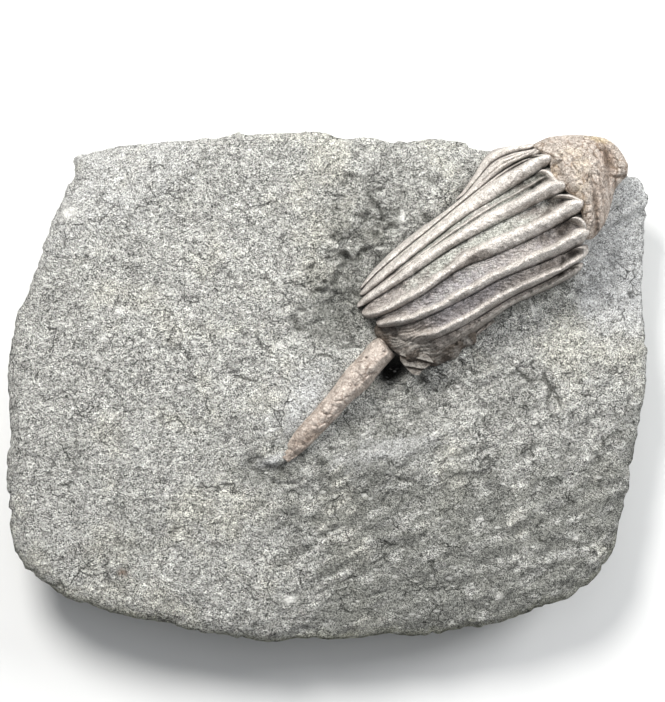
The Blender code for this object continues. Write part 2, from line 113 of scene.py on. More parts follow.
def bump(x, y, cx, cy, rx, ry, degrees=0.0):
    """exp(-(u² + v²)), a round hill of height 1 at (cx, cy), turned by degrees."""
    u, v = turned(x - cx, y - cy, degrees)
    return np.exp(-((u / rx) ** 2 + (v / ry) ** 2))


def hills(x, y, table):
    """The sum of several hills. A row of the table is a height, then the place."""
    return sum(height * bump(x, y, *place) for height, *place in table)


def bell(value, middle, width):
    """exp(-((value - middle) / width)²), 1 at the middle and near 0 two widths off."""
    return np.exp(-(((value - middle) / width) ** 2))


print("a bell from 0 to 2 widths:", bell(np.linspace(0, 2, 5), 0.0, 1.0).round(2))

# %% Random hills
def lattice(i, j, seed):
    """A number from -1 to 1 for each whole (i, j), from an integer hash."""
    n = (i * 374761393 + j * 668265263 + seed * 974711) & 0x7FFFFFFF
    n = ((n ^ (n >> 13)) * 1274126177) & 0x7FFFFFFF
    n = n ^ (n >> 16)
    return (n & 0xFFFF) / 32767.5 - 1.0


def noise(x, y, size, seed):
    """Lattice numbers joined by the quintic 6t⁵ - 15t⁴ + 10t³, bumps one size wide."""
    u, v = np.asarray(x) / size + 1000.0, np.asarray(y) / size + 1000.0
    i, j = np.floor(u).astype(np.int64), np.floor(v).astype(np.int64)
    a, b = u - i, v - j
    a, b = a**3 * (a * (6 * a - 15) + 10), b**3 * (b * (6 * b - 15) + 10)
    low = lattice(i, j, seed) * (1 - a) + lattice(i + 1, j, seed) * a
    high = lattice(i, j + 1, seed) * (1 - a) + lattice(i + 1, j + 1, seed) * a
    return low * (1 - b) + high * b


def rough(x, y, size, seed, layers=3):
    """Noise of one size plus finer noises, each half as wide and 0.6 as high."""
    total = 0.0
    for k in range(layers):
        total = total + 0.6**k * noise(x + 31.7 * k, y - 17.3 * k, size / 2**k, seed + k)
    return total


def cells(points, size, seed):
    """Distances to the nearest and second nearest of one random point per cube."""
    p = points / size + 500.0
    base = np.floor(p).astype(np.int64)
    first = np.full(p.shape[:-1], 9.0)
    second = np.full(p.shape[:-1], 9.0)
    tint = np.zeros(p.shape[:-1])
    for a in (-1, 0, 1):
        for b in (-1, 0, 1):
            for c in (-1, 0, 1):
                i, j, k = base[..., 0] + a, base[..., 1] + b, base[..., 2] + c
                key = j + 7919 * k
                spot = [lattice(i, key, seed + n) * 0.36 + 0.5 for n in range(3)]
                d = np.sqrt((i + spot[0] - p[..., 0]) ** 2
                            + (j + spot[1] - p[..., 1]) ** 2
                            + (k + spot[2] - p[..., 2]) ** 2)
                nearer = d < first
                second = np.where(nearer, first, np.minimum(second, d))
                tint = np.where(nearer, lattice(i, key, seed + 9), tint)
                first = np.where(nearer, d, first)
    return first, second, tint


print("noise at three places:", np.round(noise(np.arange(3.0), 0.0, 2.0, 7), 3))

# %% [markdown]
# ## The crown's own coordinates
# The crown lies at an angle on the slab. Along it runs q, from the arm tips to
# the cup, and across it runs w. The grooves between the arms are lines w(q), so
# each arm is simply the strip between two lines, whatever the arm's width.

# %% Lines across the crown
CROWN_ANGLE = 33.0  # degrees
CROWN_ORIGIN = (6.7, 16.53)
# The grooves from the upper left edge to the lower one, each as points (q, w).
LINES = [
    [(-2, 2.6), (2, 3.5), (6, 4.9), (10, 5.8), (14, 6.4), (22, 7.1), (26, 7.6),
     (30, 8.4), (34, 10.1), (38, 11.9), (40, 12.0), (42, 10.9), (45, 9.2), (48, 8.6)],
    [(22, 6.8), (26, 7.0), (30, 7.6), (34, 8.8), (38, 9.8), (41, 9.4), (45, 7.9),
     (48, 7.4)],
    [(-2, 1.6), (2, 2.8), (6, 3.7), (10, 4.3), (14, 4.8), (18, 5.2), (26, 6.1),
     (34, 6.9), (38, 7.3), (42, 7.1), (46, 6.0), (48, 5.6)],
    [(-2, 0.9), (2, 1.4), (6, 1.8), (10, 2.2), (18, 2.9), (26, 3.5), (34, 3.3),
     (42, 3.1), (48, 3.0)],
    [(-2, -0.3), (2, -0.4), (10, -0.5), (22, -0.4), (30, -1.1), (38, -2.0),
     (42, -2.5), (48, -3.6)],
    [(-2, -2.6), (2, -3.9), (6, -4.6), (10, -4.9), (22, -5.0), (26, -5.9),
     (34, -7.2), (42, -8.1), (48, -8.4)],
    [(-2, -5.0), (2, -6.7), (6, -8.4), (10, -9.2), (18, -10.2), (26, -10.8),
     (34, -12.4), (42, -13.7), (48, -14.2)],
    [(-2, -9.5), (2, -11.3), (6, -13.1), (10, -14.1), (18, -14.9), (26, -15.1),
     (34, -16.2), (42, -16.7), (48, -17.0)],
    [(-2, -14.5), (2, -15.4), (6, -16.4), (10, -17.0), (18, -17.1), (26, -16.8),
     (30, -17.4), (34, -18.1), (42, -18.7), (48, -18.9)],
]
CROWN_EDGE = LINES[0][:9] + [(38, 12.0), (42, 12.4), (48, 12.4)]
# The bed of the crown and cup in the slab: its lower and its upper left edge.
BED_LOW = LINES[8][:8] + [
    (38, -18.4), (40, -18.3), (42, -17.2), (44, -15.8), (46, -14.8), (49, -13.8),
    (52, -11.8), (54, -10.0), (56, -8.4), (58, -7.8), (60, -6.4), (64, -4.0)]
BED_HIGH = CROWN_EDGE[:10] + [
    (42, 11.8), (45, 10.2), (48, 9.2), (51, 7.8), (55, 5.6), (58.5, 2.8), (60.5, 0.8),
    (64, -2.0)]
HANGER = [(5, -18.2), (10, -18.6), (14, -18.3), (18, -17.9), (23, -17.5)]
CROWN_TOP = [(-4, 3.2), (0, 4.6), (4, 7.2), (8, 9.2), (14, 10.6), (24, 11.4),
             (36, 11.6), (48, 11.6)]
FILL_TOP = [(-8, -3.4), (-4, -2.0), (0, 0.6), (4, 3.6), (8, 5.8), (14, 7.4),
            (24, 8.2), (36, 8.4), (42, 8.2), (46, 7.0), (50, 4.6), (54, 2.0),
            (58, 0.0), (62, -0.8)]


def to_crown(x, y):
    return turned(x - CROWN_ORIGIN[0], y - CROWN_ORIGIN[1], CROWN_ANGLE)


def from_crown(q, w):
    x, y = turned(q, w, -CROWN_ANGLE)
    return CROWN_ORIGIN[0] + x, CROWN_ORIGIN[1] + y


def line_at(index, q):
    return through(HANGER if index == 9 else LINES[index], q)


def between(low, high, w):
    """-1 at the lower edge, +1 at the upper left edge, straight between."""
    return (2 * w - low - high) / (high - low)


def across(q, w):
    return between(line_at(8, q), through(CROWN_EDGE, q), w)


def across_bed(q, w):
    return between(through(BED_LOW, q), through(BED_HIGH, q), w)


def crown_height(q, w):
    """Top(q) times (1 - |u|^2.4)^0.6, the rounded back that the ribs sit on."""
    u = np.abs(across(q, w))
    roof = np.clip(1 - u**2.4, 0, 1) ** 0.60
    return through(CROWN_TOP, q) * roof - 2.0 * (1 - roof)


def fill_height(q, w):
    """The stone under crown and cup: foot + (top(q) - foot) * (1 - u²)^1.25."""
    u = np.abs(across_bed(q, w)) / 0.94
    roof = np.clip(1 - u * u, 0, 1) ** 1.25
    foot = -3.2 + 2.4 * step(42.0, 49.0, q)
    return foot + (through(FILL_TOP, q) - foot) * roof


print("crown width at its middle:", round(float(line_at(0, 24) - line_at(8, 24)), 1), "mm")

# %% [markdown]
# ## Meshes from rings
# Every piece here is a closed skin: rings of points, one after the other, with
# the first and last ring closed to a point. One function makes the faces for
# all of them from index arithmetic, turns them outwards if the rings ran the
# other way, and stores masks on the points, such as where dirt gathers.
# Materials read those masks later.

# %% The skin builder
def add(name, data):
    """An object in the scene, at the origin."""
    made = bpy.data.objects.new(name, data)
    bpy.context.scene.collection.objects.link(made)
    return made


def skin(name, rings, look, masks=None, node=None):
    """Rings (rows, columns, 3) in millimetres become one closed, smooth mesh. A fan
    of triangles closes each end."""
    rows, columns = rings.shape[:2]
    points = np.concatenate([rings.reshape(-1, 3), rings[:1].mean(axis=1),
                             rings[-1:].mean(axis=1)])
    r = np.arange(rows - 1)[:, None] * columns
    c = np.arange(columns)
    d = (c + 1) % columns
    quads = np.stack([r + c, r + d, r + columns + d, r + columns + c], -1).reshape(-1, 4)
    last = (rows - 1) * columns
    fans = np.concatenate([
        np.stack([np.full(columns, rows * columns), d, c], -1),
        np.stack([np.full(columns, rows * columns + 1), last + c, last + d], -1)])
    corner = points[quads] - points.mean(axis=0)
    volume = np.einsum("ij,ij->", corner[:, 0], np.cross(corner[:, 1], corner[:, 2]))
    if volume < 0:
        quads, fans = quads[:, ::-1], fans[:, ::-1]
    mesh = bpy.data.meshes.new(name)
    mesh.from_pydata(((points + (0, 0, PLATEAU)) * MM).tolist(), [],
                     quads.tolist() + fans.tolist())
    mesh.polygons.foreach_set("use_smooth", np.ones(len(mesh.polygons), bool))
    for label, values in (masks or {}).items():
        values = np.broadcast_to(values, (rows, columns))
        flat = np.concatenate([values.reshape(-1), [values[0].mean(), values[-1].mean()]])
        mesh.attributes.new(label, "FLOAT", "POINT").data.foreach_set(
            "value", flat.astype(np.float32))
    mesh.materials.append(look)
    mesh.update()
    piece = add(name, mesh)
    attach(piece, "root")
    if node:
        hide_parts(node)
    box = np.round(np.stack([points.min(0), points.max(0)]), 1).tolist()
    print(name, len(quads) * 2 + len(fans), "triangles,", box, "mm")


# %% [markdown]
# Most pieces are seen from above and stand in the slab, so their underside may be
# coarse. Two helpers close a surface below: as a tube, ring by ring across, or as
# a lid, from its middle to its rim and back. An outline is given by few corners; a
# curve through them rounds it, and even steps keep the faces alike.

# %% Closing a surface underneath
def as_tube(top, below, masks, count):
    """Each row becomes a ring: the top across, then count points below, back again."""
    x = top[0]
    pick = np.linspace(x.shape[1] - 1, 0, count).astype(int)
    rings = np.concatenate([np.stack(top, -1), np.stack(below, -1)[:, pick]], 1)
    return rings, {label: np.concatenate([values + 0 * x, (values + 0 * x)[:, pick]], 1)
                   for label, values in masks.items()}


def as_lid(top, below, dark, every):
    """Rings from the middle to the rim, then every n-th again below, inwards."""
    rings = np.concatenate([np.stack(top, -1), np.stack(below, -1)[::-every]])
    return rings, {"hollow": np.concatenate([dark, dark[::-every]])}


def towards(outline, centre, share):
    """Points from a centre (share 0) to each point of an outline (share 1)."""
    return (centre[0] + (outline[:, 0] - centre[0]) * share,
            centre[1] + (outline[:, 1] - centre[1]) * share)


def even_points(outline, count):
    """A closed outline again, as points at even steps along its length."""
    closed = np.vstack([outline, outline[:1]])
    along = np.r_[0, np.cumsum(np.hypot(*np.diff(closed[:, :2], axis=0).T))]
    at = np.linspace(0, along[-1], count, endpoint=False)
    return np.stack([np.interp(at, along, column) for column in closed.T], axis=1)


def smooth_outline(corners, count):
    """Catmull-Rom through the corners, then even points along it."""
    p = np.asarray(corners, float)
    before, after, later = np.roll(p, 1, 0), np.roll(p, -1, 0), np.roll(p, -2, 0)
    t = np.linspace(0, 1, 12, endpoint=False)[None, :, None]
    p0, p1, p2, p3 = (v[:, None, :] for v in (before, p, after, later))
    fine = 0.5 * (2 * p1 + (p2 - p0) * t + (2 * p0 - 5 * p1 + 4 * p2 - p3) * t**2
                  + (3 * p1 - p0 - 3 * p2 + p3) * t**3)
    return even_points(fine.reshape(-1, p.shape[1]), count)


print("a smooth triangle:", smooth_outline([(0, 0), (1, 0), (0, 1)], 6).round(2).tolist())

# %% [markdown]
# ## Finishes
# Siltstone is a salt and pepper of grains well under a millimetre. The fossil is
# limestone, paler; its hollows are darkened, mostly with painted shade. The grain is
# the same effect on both, so it is one shader node group with named sockets, placed
# in each material with its own sizes.

# %% Helpers for nodes
def new_group(name, values, outputs):
    """A group that reads a vector and named values. Its output Hue is a colour, and
    all others are values."""
    group = bpy.data.node_groups.new(name, "ShaderNodeTree")
    group.interface.new_socket(name="Vector", in_out="INPUT", socket_type="NodeSocketVector")
    for label, value in values.items():
        socket = group.interface.new_socket(name=label, in_out="INPUT",
                                            socket_type="NodeSocketFloat")
        socket.default_value = value
    for label in outputs:
        kind = "NodeSocketColor" if label == "Hue" else "NodeSocketFloat"
        group.interface.new_socket(name=label, in_out="OUTPUT", socket_type=kind)
    return group, group.nodes.new("NodeGroupInput").outputs


def finish_group(group, **outputs):
    result = group.nodes.new("NodeGroupOutput")
    for label, value in outputs.items():
        group.links.new(value, result.inputs[label])
    print("group", group.name, "with", len(group.nodes), "nodes")
    return group


def put(tree, kind, settings=None, **inputs):
    """A new node with its settings and inputs, by name or, after an underscore, by
    number. An input may be another node's output."""
    node = tree.nodes.new(kind)
    for key, value in (settings or {}).items():
        setattr(node, key, value)
    for key, value in inputs.items():
        socket = node.inputs[int(key[1:])] if key[0] == "_" else node.inputs[key]
        if isinstance(value, bpy.types.NodeSocket):
            tree.links.new(value, socket)
        elif socket.type == "RGBA":
            socket.default_value = (*value, 1.0)
        else:
            socket.default_value = value
    return node


def maths(tree, operation, a, b=0.0, clamp=False):
    node = put(tree, "ShaderNodeMath", {"operation": operation, "use_clamp": clamp}, _0=a, _1=b)
    return node.outputs[0]


def plus(tree, a, b, clamp=False):
    return maths(tree, "ADD", a, b, clamp)


def minus(tree, a, b):
    return maths(tree, "SUBTRACT", a, b)


def times(tree, a, b):
    return maths(tree, "MULTIPLY", a, b)


def spread(tree, value, low, high, to_low=0.0, to_high=1.0):
    """Stretch low..high to to_low..to_high, held at both ends."""
    node = put(tree, "ShaderNodeMapRange", {"clamp": True}, _0=value, _1=low, _2=high,
               _3=to_low, _4=to_high)
    return node.outputs[0]


def use(tree, group, **inputs):
    """A group placed in a material; an underscore stands for a space in a name."""
    return put(tree, "ShaderNodeGroup", {"node_tree": group},
               **{label.replace("_", " "): value for label, value in inputs.items()})


def blend(tree, factor, a, b, kind="MIX"):
    node = put(tree, "ShaderNodeMix", {"data_type": "RGBA", "blend_type": kind},
               _0=factor, _6=a, _7=b)
    return node.outputs[2]


def clouds(tree, at, scale, detail, roughness=0.5, distortion=0.0):
    """A noise texture; its output 0 is a value and its output 1 a colour."""
    return put(tree, "ShaderNodeTexNoise", Vector=at, Scale=scale, Detail=detail,
               Roughness=roughness, Distortion=distortion)


print("helpers:", [helper.__name__ for helper in (put, use, maths, spread, blend, clouds)])

# %% The grain group
def grain_group():
    """Two noises and a cell pattern: a value for light and dark grains, a height
    for the Bump node, a mask of rare whitish shell flecks and a colour per grain."""
    group, given = new_group("mineral_grain", {"Grain Scale": 2400.0, "Contrast": 1.0,
                                               "Coarse Share": 0.35, "Fleck Scale": 420.0},
                             ["Value", "Height", "Flecks", "Hue"])
    at, size, share = given["Vector"], given["Grain Scale"], given["Coarse Share"]
    fine = clouds(group, at, size, 3.0, 0.65)
    coarse = clouds(group, at, times(group, size, 0.36), 3.0, 0.6)
    crystal = put(group, "ShaderNodeTexVoronoi", Vector=at, Scale=times(group, size, 0.8))
    facet = put(group, "ShaderNodeSeparateColor", Color=crystal.outputs["Color"])
    mixed = plus(group, times(group, fine.outputs[0], minus(group, 0.90, share)),
                 times(group, coarse.outputs[0], share))
    mixed = plus(group, mixed, times(group, facet.outputs[0], 0.10))
    centred = times(group, minus(group, mixed, 0.5), given["Contrast"])
    value = plus(group, centred, 0.5, clamp=True)
    flecks = None
    for turn, stretch, factor in ((0.7, 2.2, 1.1), (-0.9, 1.8, 2.0)):
        laid = put(group, "ShaderNodeMapping", Vector=at, Rotation=(0.0, 0.0, turn),
                   Scale=(1.0, stretch, 1.0))
        spots = put(group, "ShaderNodeTexVoronoi", Vector=laid.outputs[0],
                    Scale=times(group, given["Fleck Scale"], factor))
        chosen = put(group, "ShaderNodeSeparateColor", Color=spots.outputs["Color"])
        ragged = plus(group, spots.outputs["Distance"], times(group, coarse.outputs[0], 0.55))
        near = times(group, spread(group, ragged, 0.66, 0.50),
                     spread(group, chosen.outputs[1], 0.84, 1.0))
        flecks = near if flecks is None else maths(group, "MAXIMUM", flecks, near)
    height = plus(group, times(group, fine.outputs[0], 0.5),
                  times(group, coarse.outputs[0], 0.8))
    return finish_group(group, Value=value, Height=height, Flecks=flecks, Hue=fine.outputs[1])


GRAIN = grain_group()

# %% Ragged masks and hair lines
def stain_group():
    """A mask stored on the points, broken up by noise so that its edge is ragged."""
    group, given = new_group("ragged_mask", {"Mask": 0.0, "Scale": 900.0, "Raggedness": 0.6},
                             ["Mask"])
    torn = clouds(group, given["Vector"], given["Scale"], 4.0, 0.7)
    shift = times(group, minus(group, torn.outputs[0], 0.5),
                  times(group, given["Raggedness"], 2.0))
    value = spread(group, plus(group, given["Mask"], shift), 0.15, 0.85)
    return finish_group(group, Mask=times(group, value, spread(group, given["Mask"], 0.0, 0.12)))


def hair_group():
    """Thin broken lines: the edges of large bent cells, kept only where a noise
    is high. The needle leaves such lines, and so do the cracks of a bed."""
    group, given = new_group("hair_lines", {"Scale": 130.0, "Width": 0.025,
                                            "Kept From": 0.54}, ["Mask"])
    at, scale = given["Vector"], given["Scale"]
    bend = clouds(group, at, times(group, scale, 1.6), 3.0)
    pushed = put(group, "ShaderNodeVectorMath", {"operation": "MULTIPLY_ADD"},
                 _0=bend.outputs[1], _1=(0.006, 0.006, 0.0), _2=at)
    edge = put(group, "ShaderNodeTexVoronoi", {"feature": "DISTANCE_TO_EDGE"},
               Vector=pushed.outputs[0], Scale=scale)
    line = spread(group, edge.outputs["Distance"], given["Width"], 0.0)
    keep = clouds(group, at, times(group, scale, 1.1), 2.0)
    kept = spread(group, minus(group, keep.outputs[0], given["Kept From"]), 0.0, 0.05)
    return finish_group(group, Mask=times(group, line, kept))


STAIN, HAIR = stain_group(), hair_group()

# %% [markdown]
# A stone's colour is built in layers, as a painter would do it. First the grain
# mixes a dark and a light colour, and large soft clouds and streaks vary it. Then
# one colour after another is laid over through the masks on the points, each with
# grain of its own. Pale flecks and thin dark lines come last. The same grain feeds
# the Bump node, so that light and dark grains also catch the light.

# %% A stone's own colour
WARMTH = (1.04, 1.0, 0.86)  # the stone's colour is multiplied by it in warm clouds
FLECK_COLOUR = (0.82, 0.81, 0.77)
SHINE = 0.22  # stone reflects less than the shader's usual 0.5


def grainy(tree, at, sand, dark, light, mottle, hue, streaks):
    """Dark to light by the grain, times clouds and streaks, then tinted by hue."""
    colour = blend(tree, sand.outputs["Value"], dark, light)
    large = clouds(tree, at, 70.0, 4.0, 0.6).outputs[0]
    small = clouds(tree, at, 430.0, 3.0, 0.7, 0.8).outputs[0]
    shade = times(tree, spread(tree, large, 0.3, 0.7, 0.90, 1.08),
                  spread(tree, small, 0.30, 0.70, 1 - mottle, 1 + 0.8 * mottle))
    for degrees, scale, strength in streaks:
        laid = put(tree, "ShaderNodeMapping", {"vector_type": "TEXTURE"}, Vector=at,
                   Rotation=(0.0, 0.0, math.radians(degrees)), Scale=(3.6, 1.0, 1.0))
        streak = clouds(tree, laid.outputs[0], scale, 3.0, 0.65, 0.5)
        shade = times(tree, shade, spread(tree, streak.outputs[0], 0.34, 0.64,
                                          1 - strength, 1 + 0.8 * strength))
    grey = put(tree, "ShaderNodeCombineColor", Red=shade, Green=shade, Blue=shade)
    colour = blend(tree, 1.0, colour, grey.outputs[0], "MULTIPLY")
    if hue:
        warm = times(tree, spread(tree, large, 0.50, 0.62), hue)
        tinted = blend(tree, 1.0, colour, WARMTH, "MULTIPLY")
        colour = blend(tree, warm, colour, tinted)
        colour = blend(tree, 0.5 * hue, colour, sand.outputs["Hue"], "OVERLAY")
    return colour


# %% The colours laid over it
PLAIN_SHADES = (0.28, 1.85)
print("a layer's darkest and lightest grains are", PLAIN_SHADES, "times its colour")


def laid_over(tree, at, sand, colour, layers):
    """One plain mix per layer, through its mask with a ragged edge."""
    for label, tint, strength, scale, ragged, *shades in layers:
        low, high = shades or PLAIN_SHADES
        mask = put(tree, "ShaderNodeAttribute", {"attribute_name": label}).outputs["Fac"]
        edge = use(tree, STAIN, Vector=at, Mask=mask, Scale=scale, Raggedness=ragged)
        amount = times(tree, edge.outputs["Mask"], strength)
        varied = blend(tree, times(tree, sand.outputs["Value"], 0.9),
                       tuple(low * v for v in tint), tuple(min(1.0, high * v) for v in tint))
        colour = blend(tree, amount, colour, varied)
    return colour


# %% A stone material
def stone(name, dark, light, grain, contrast, bump_mm, layers=(), flecks=0.0, roughness=0.85,
          mottle=0.18, coarse=0.35, hue=0.0, hairs=(), pitted_mm=0.0, streaks=()):
    """A whole material; the colours are dark and light grains.

    Each of the layers is (mask attribute, colour, strength, scale, raggedness) and, if
    wanted, how many times the colour its darkest and lightest grains are. A strength
    under 1 lets the stone show through.

    Each of the hairs is (scale, width, kept from, strength), a net of thin lines, and
    each of the streaks (degrees, scale, strength), noise drawn out along a direction."""
    made = bpy.data.materials.new(name)
    made.use_nodes = True
    tree = made.node_tree
    shader = tree.nodes["Principled BSDF"]
    at = tree.nodes.new("ShaderNodeTexCoord").outputs["Object"]
    sand = use(tree, GRAIN, Vector=at, Grain_Scale=grain, Contrast=contrast, Coarse_Share=coarse)
    colour = grainy(tree, at, sand, dark, light, mottle, hue, streaks)
    colour = laid_over(tree, at, sand, colour, layers)
    if flecks:
        colour = blend(tree, times(tree, sand.outputs["Flecks"], flecks), colour, FLECK_COLOUR)
    cut = 0.0
    for scale, width, kept, strength in hairs:
        lines = use(tree, HAIR, Vector=at, Scale=scale, Width=width, Kept_From=kept)
        amount = times(tree, lines.outputs["Mask"], strength)
        colour = blend(tree, amount, colour, tuple(0.7 * v for v in dark))
        cut = plus(tree, amount, cut)
    tree.links.new(colour, shader.inputs["Base Color"])
    height = minus(tree, sand.outputs["Height"], times(tree, cut, 0.5))
    fine = put(tree, "ShaderNodeBump", Strength=1.0, Distance=bump_mm * MM, Height=height)
    if pitted_mm:
        broad = put(tree, "ShaderNodeBump", Strength=1.0, Distance=pitted_mm * MM,
                    Height=clouds(tree, at, 780.0, 4.0, 0.65, 0.7).outputs[0])
        tree.links.new(broad.outputs["Normal"], fine.inputs["Normal"])
    tree.links.new(fine.outputs["Normal"], shader.inputs["Normal"])
    dull = spread(tree, sand.outputs["Value"], 0.2, 0.9, roughness + 0.08, roughness - 0.1)
    tree.links.new(dull, shader.inputs["Roughness"])
    shader.inputs["Specular IOR Level"].default_value = SHINE
    print("finish", name, "with", len(tree.nodes), "nodes")
    return made


# %% [markdown]
# Now the five finishes. One mask on every piece darkens it where shade falls: painted
# shade in grooves, pits, creases and where a piece meets the stone, with some dark
# tone of its own. The slab's other masks are dim ground, darker towards the bottom and
# painted shade in the trench and below the crown; lighter ground, painted light on
# slopes that face the lamp; its weathered rind, shell, rust; and the cavity, painted
# near black as its shadow. The arms have a greyer band beside the rib, lilac patches,
# iron stains that also paint shade on the lower arms and the ribs' lower flanks, and
# "matrix", slab stone that still sticks between the ribs. Cup and tube have the
# sutures between their plates.

# %% The five finishes
# Of the siltstone's layers, the dim one and the two darkest are partly painted shade, and the
# layer that lightens is painted light, as the slab's masks below say.
siltstone = stone("siltstone", (0.040, 0.041, 0.035), (0.84, 0.835, 0.785), 4700.0, 5.4, 0.45,
                  layers=[("dim", (0.180, 0.182, 0.163), 0.78, 330.0, 0.55),
                          ("hollow", (0.10, 0.10, 0.088), 0.80, 700.0, 0.5),
                          ("pale", (0.80, 0.80, 0.755), 0.80, 500.0, 0.6),
                          ("rind", (0.36, 0.36, 0.25), 0.55, 260.0, 0.6),
                          ("shell", (0.80, 0.79, 0.75), 0.90, 1500.0, 0.6, 0.7, 1.2),
                          ("iron", (0.13, 0.075, 0.045), 0.8, 1500.0, 0.5),
                          ("cavity", (0.016, 0.015, 0.013), 0.97, 900.0, 0.15)],
                  flecks=0.65, roughness=0.9, mottle=0.30, coarse=0.14, hue=0.30,
                  hairs=((150.0, 0.030, 0.54, 0.80), (330.0, 0.050, 0.54, 0.65)),
                  pitted_mm=1.15, streaks=((27.0, 1900.0, 0.24), (-22.0, 2300.0, 0.18)))
# On the arms, the iron layer also paints shade on the lower arms and the ribs' lower flanks, and
# the darkest layer paints shade in the grooves, furrows, valleys and at the roots.
arm_stone = stone("arm_limestone", (0.27, 0.24, 0.21), (0.97, 0.915, 0.855), 3600.0, 2.9, 0.24,
                  layers=[("band", (0.31, 0.28, 0.262), 0.80, 900.0, 0.8),
                          ("lilac", (0.27, 0.26, 0.285), 0.60, 420.0, 0.8),
                          ("matrix", (0.32, 0.322, 0.292), 0.95, 900.0, 0.7, 0.08, 2.5),
                          ("iron", (0.23, 0.195, 0.165), 0.62, 600.0, 0.7),
                          ("hollow", (0.11, 0.09, 0.075), 0.76, 1300.0, 0.40)],
                  flecks=0.25, roughness=0.88, coarse=0.25, hairs=((420.0, 0.05, 0.54, 0.45),),
                  pitted_mm=0.40)
cup_stone = stone("calyx_limestone", (0.16, 0.13, 0.105), (0.69, 0.615, 0.545), 3000.0, 3.0, 0.28,
                  layers=[("iron", (0.42, 0.31, 0.25), 0.55, 600.0, 0.6),
                          ("suture", (0.20, 0.145, 0.105), 0.84, 1100.0, 0.42),
                          ("ochre", (0.56, 0.44, 0.27), 0.50, 500.0, 0.6),
                          ("hollow", (0.15, 0.11, 0.08), 0.80, 900.0, 0.4)],
                  roughness=0.76, coarse=0.25,
                  hairs=((520.0, 0.07, 0.47, 0.45), (260.0, 0.040, 0.47, 0.60)), pitted_mm=0.4)
tube_stone = stone("tube_limestone", (0.23, 0.18, 0.15), (0.74, 0.66, 0.585), 2900.0, 2.8, 0.30,
                   layers=[("suture", (0.21, 0.155, 0.12), 0.80, 1200.0, 0.4),
                           ("iron", (0.25, 0.20, 0.16), 0.66, 420.0, 0.9),
                           ("hollow", (0.10, 0.08, 0.065), 0.85, 1000.0, 0.4)],
                   roughness=0.78, coarse=0.25, hairs=((300.0, 0.045, 0.46, 0.55),))
fibre_stone = stone("pinnule_limestone", (0.075, 0.068, 0.06), (0.40, 0.372, 0.335), 3000.0, 3.2,
                    0.22, layers=[("hollow", (0.085, 0.065, 0.05), 0.85, 1300.0, 0.4)],
                    roughness=0.82)

# %% [markdown]
# ## The slab
# A slab of siltstone is broken out of its bed, and its face is then prepared
# with needles around the fossil: that leaves a trench beside the crown, a ramp
# beside the tube and a deep pit under the arm tips, painted dark as its shadow. It
# could be sculpted by hand; here its face is one height function of x and y, so
# every dip has a place and a depth that can be read and changed.

# %% The face of the slab
PLATEAU_EDGE = [(14.5, 54), (10.4, 44.0), (4.7, 33.0), (1.5, 25.3), (-1.6, 17.6),
                (-1.2, 10.5), (2.0, 5.0)]
FACET_EDGE = [(-58, 30.5), (-46.4, 34.9), (-38.3, 36.3), (-31.2, 46.0), (-30.5, 52)]
STEP_EDGE = [(-11.9, -18.9), (-10.9, -35.1), (-10.9, -53.0)]
TUBE_SIDE = [(-8.6, -14.8), (-1.8, -5.5), (4.9, 1.4), (9.1, 5.9), (14.0, 8.6)]
SEED = 7
# Hills: height, middle, two radii and, if turned, degrees.
DIPS_AND_SWELLS = [
    (-2.2, 17, -2, 15, 6.5, 25), (-5.5, 13.4, 3.7, 3.0, 2.4, 20), (-1.1, -17.0, 2.0, 6.0, 4.0),
    (0.9, -11.0, -14.9, 2.3, 1.2, 20), (1.0, 10, -15, 11, 4.0, 10)]


def ground(x, y):
    """Large noises, plus facet, trench, low ground, tube bank, dips, ramp and step."""
    z = 0.55 * noise(x, y, 26.0, SEED) + 0.38 * noise(x, y, 11.0, SEED + 1)
    z = z + 0.24 * noise(x, y, 5.2, SEED + 2)
    facet = np.maximum(distance(x, y, FACET_EDGE), 0.0)
    trench = step(-3.0, 5.0, distance(x, y, PLATEAU_EDGE)) * step(4.0, 14.0, y)
    tube = distance(x, y, TUBE_SIDE)
    low = step(0.5, -3.5, tube) * step(-44.0, 4.0, y) * step(2.0, 10.0, x + 10)
    low = low * step(-30.0, -2.0, y + 0.25 * x)
    bank = step(-1.5, 5.0, tube) * bell(np.maximum(tube, 4.0), 4.0, 7.0)
    bank = bank * step(-18.5, -13.0, y) * step(16.0, 4.0, y)
    ramp = np.maximum(0.72 * x - 0.70 * (y + 6), 0.0)
    drop = step(-0.4, 2.0, distance(x, y, STEP_EDGE)) * step(-17, -22, y)
    z = z - 0.24 * facet - 2.7 * trench - 2.4 * low + 1.5 * bank - 0.030 * ramp - 0.9 * drop
    return z + hills(x, y, DIPS_AND_SWELLS)


def edge_fall(inside):
    return 1.7 * np.exp(-np.maximum(inside, 0.0) / 1.1) + 0.7 * np.exp(-inside / 6.0)


def slab_face(x, y, inside):
    """Ground less the fall at the edge, blended into the fill under the crown."""
    q, w = to_crown(x, y)
    z = ground(x, y) - edge_fall(inside)
    inner = step(1.10, 0.84, np.abs(across_bed(q, w)))
    inner = inner * step(-4.5, 1.5, q) * step(63.0, 60.0, q)
    return z * (1 - inner) + fill_height(q, w) * inner


def seat(x, y):
    """The same, taken as 40 mm from the edge: what the fossil's pieces stand on."""
    return slab_face(x, y, 40.0)


print("height of the plateau, the trench and the step, in mm:",
      seat(np.array([-30.0, 5.0, 5.0]), np.array([20.0, 25.0, -40.0])).round(2))

# %% [markdown]
# The fine relief comes on top. Near the crown the needle left short gouges; the
# lower right is torn along one direction; the rest is even and sandy. So the
# noise is stretched along a direction, and masks say how strong it is where.

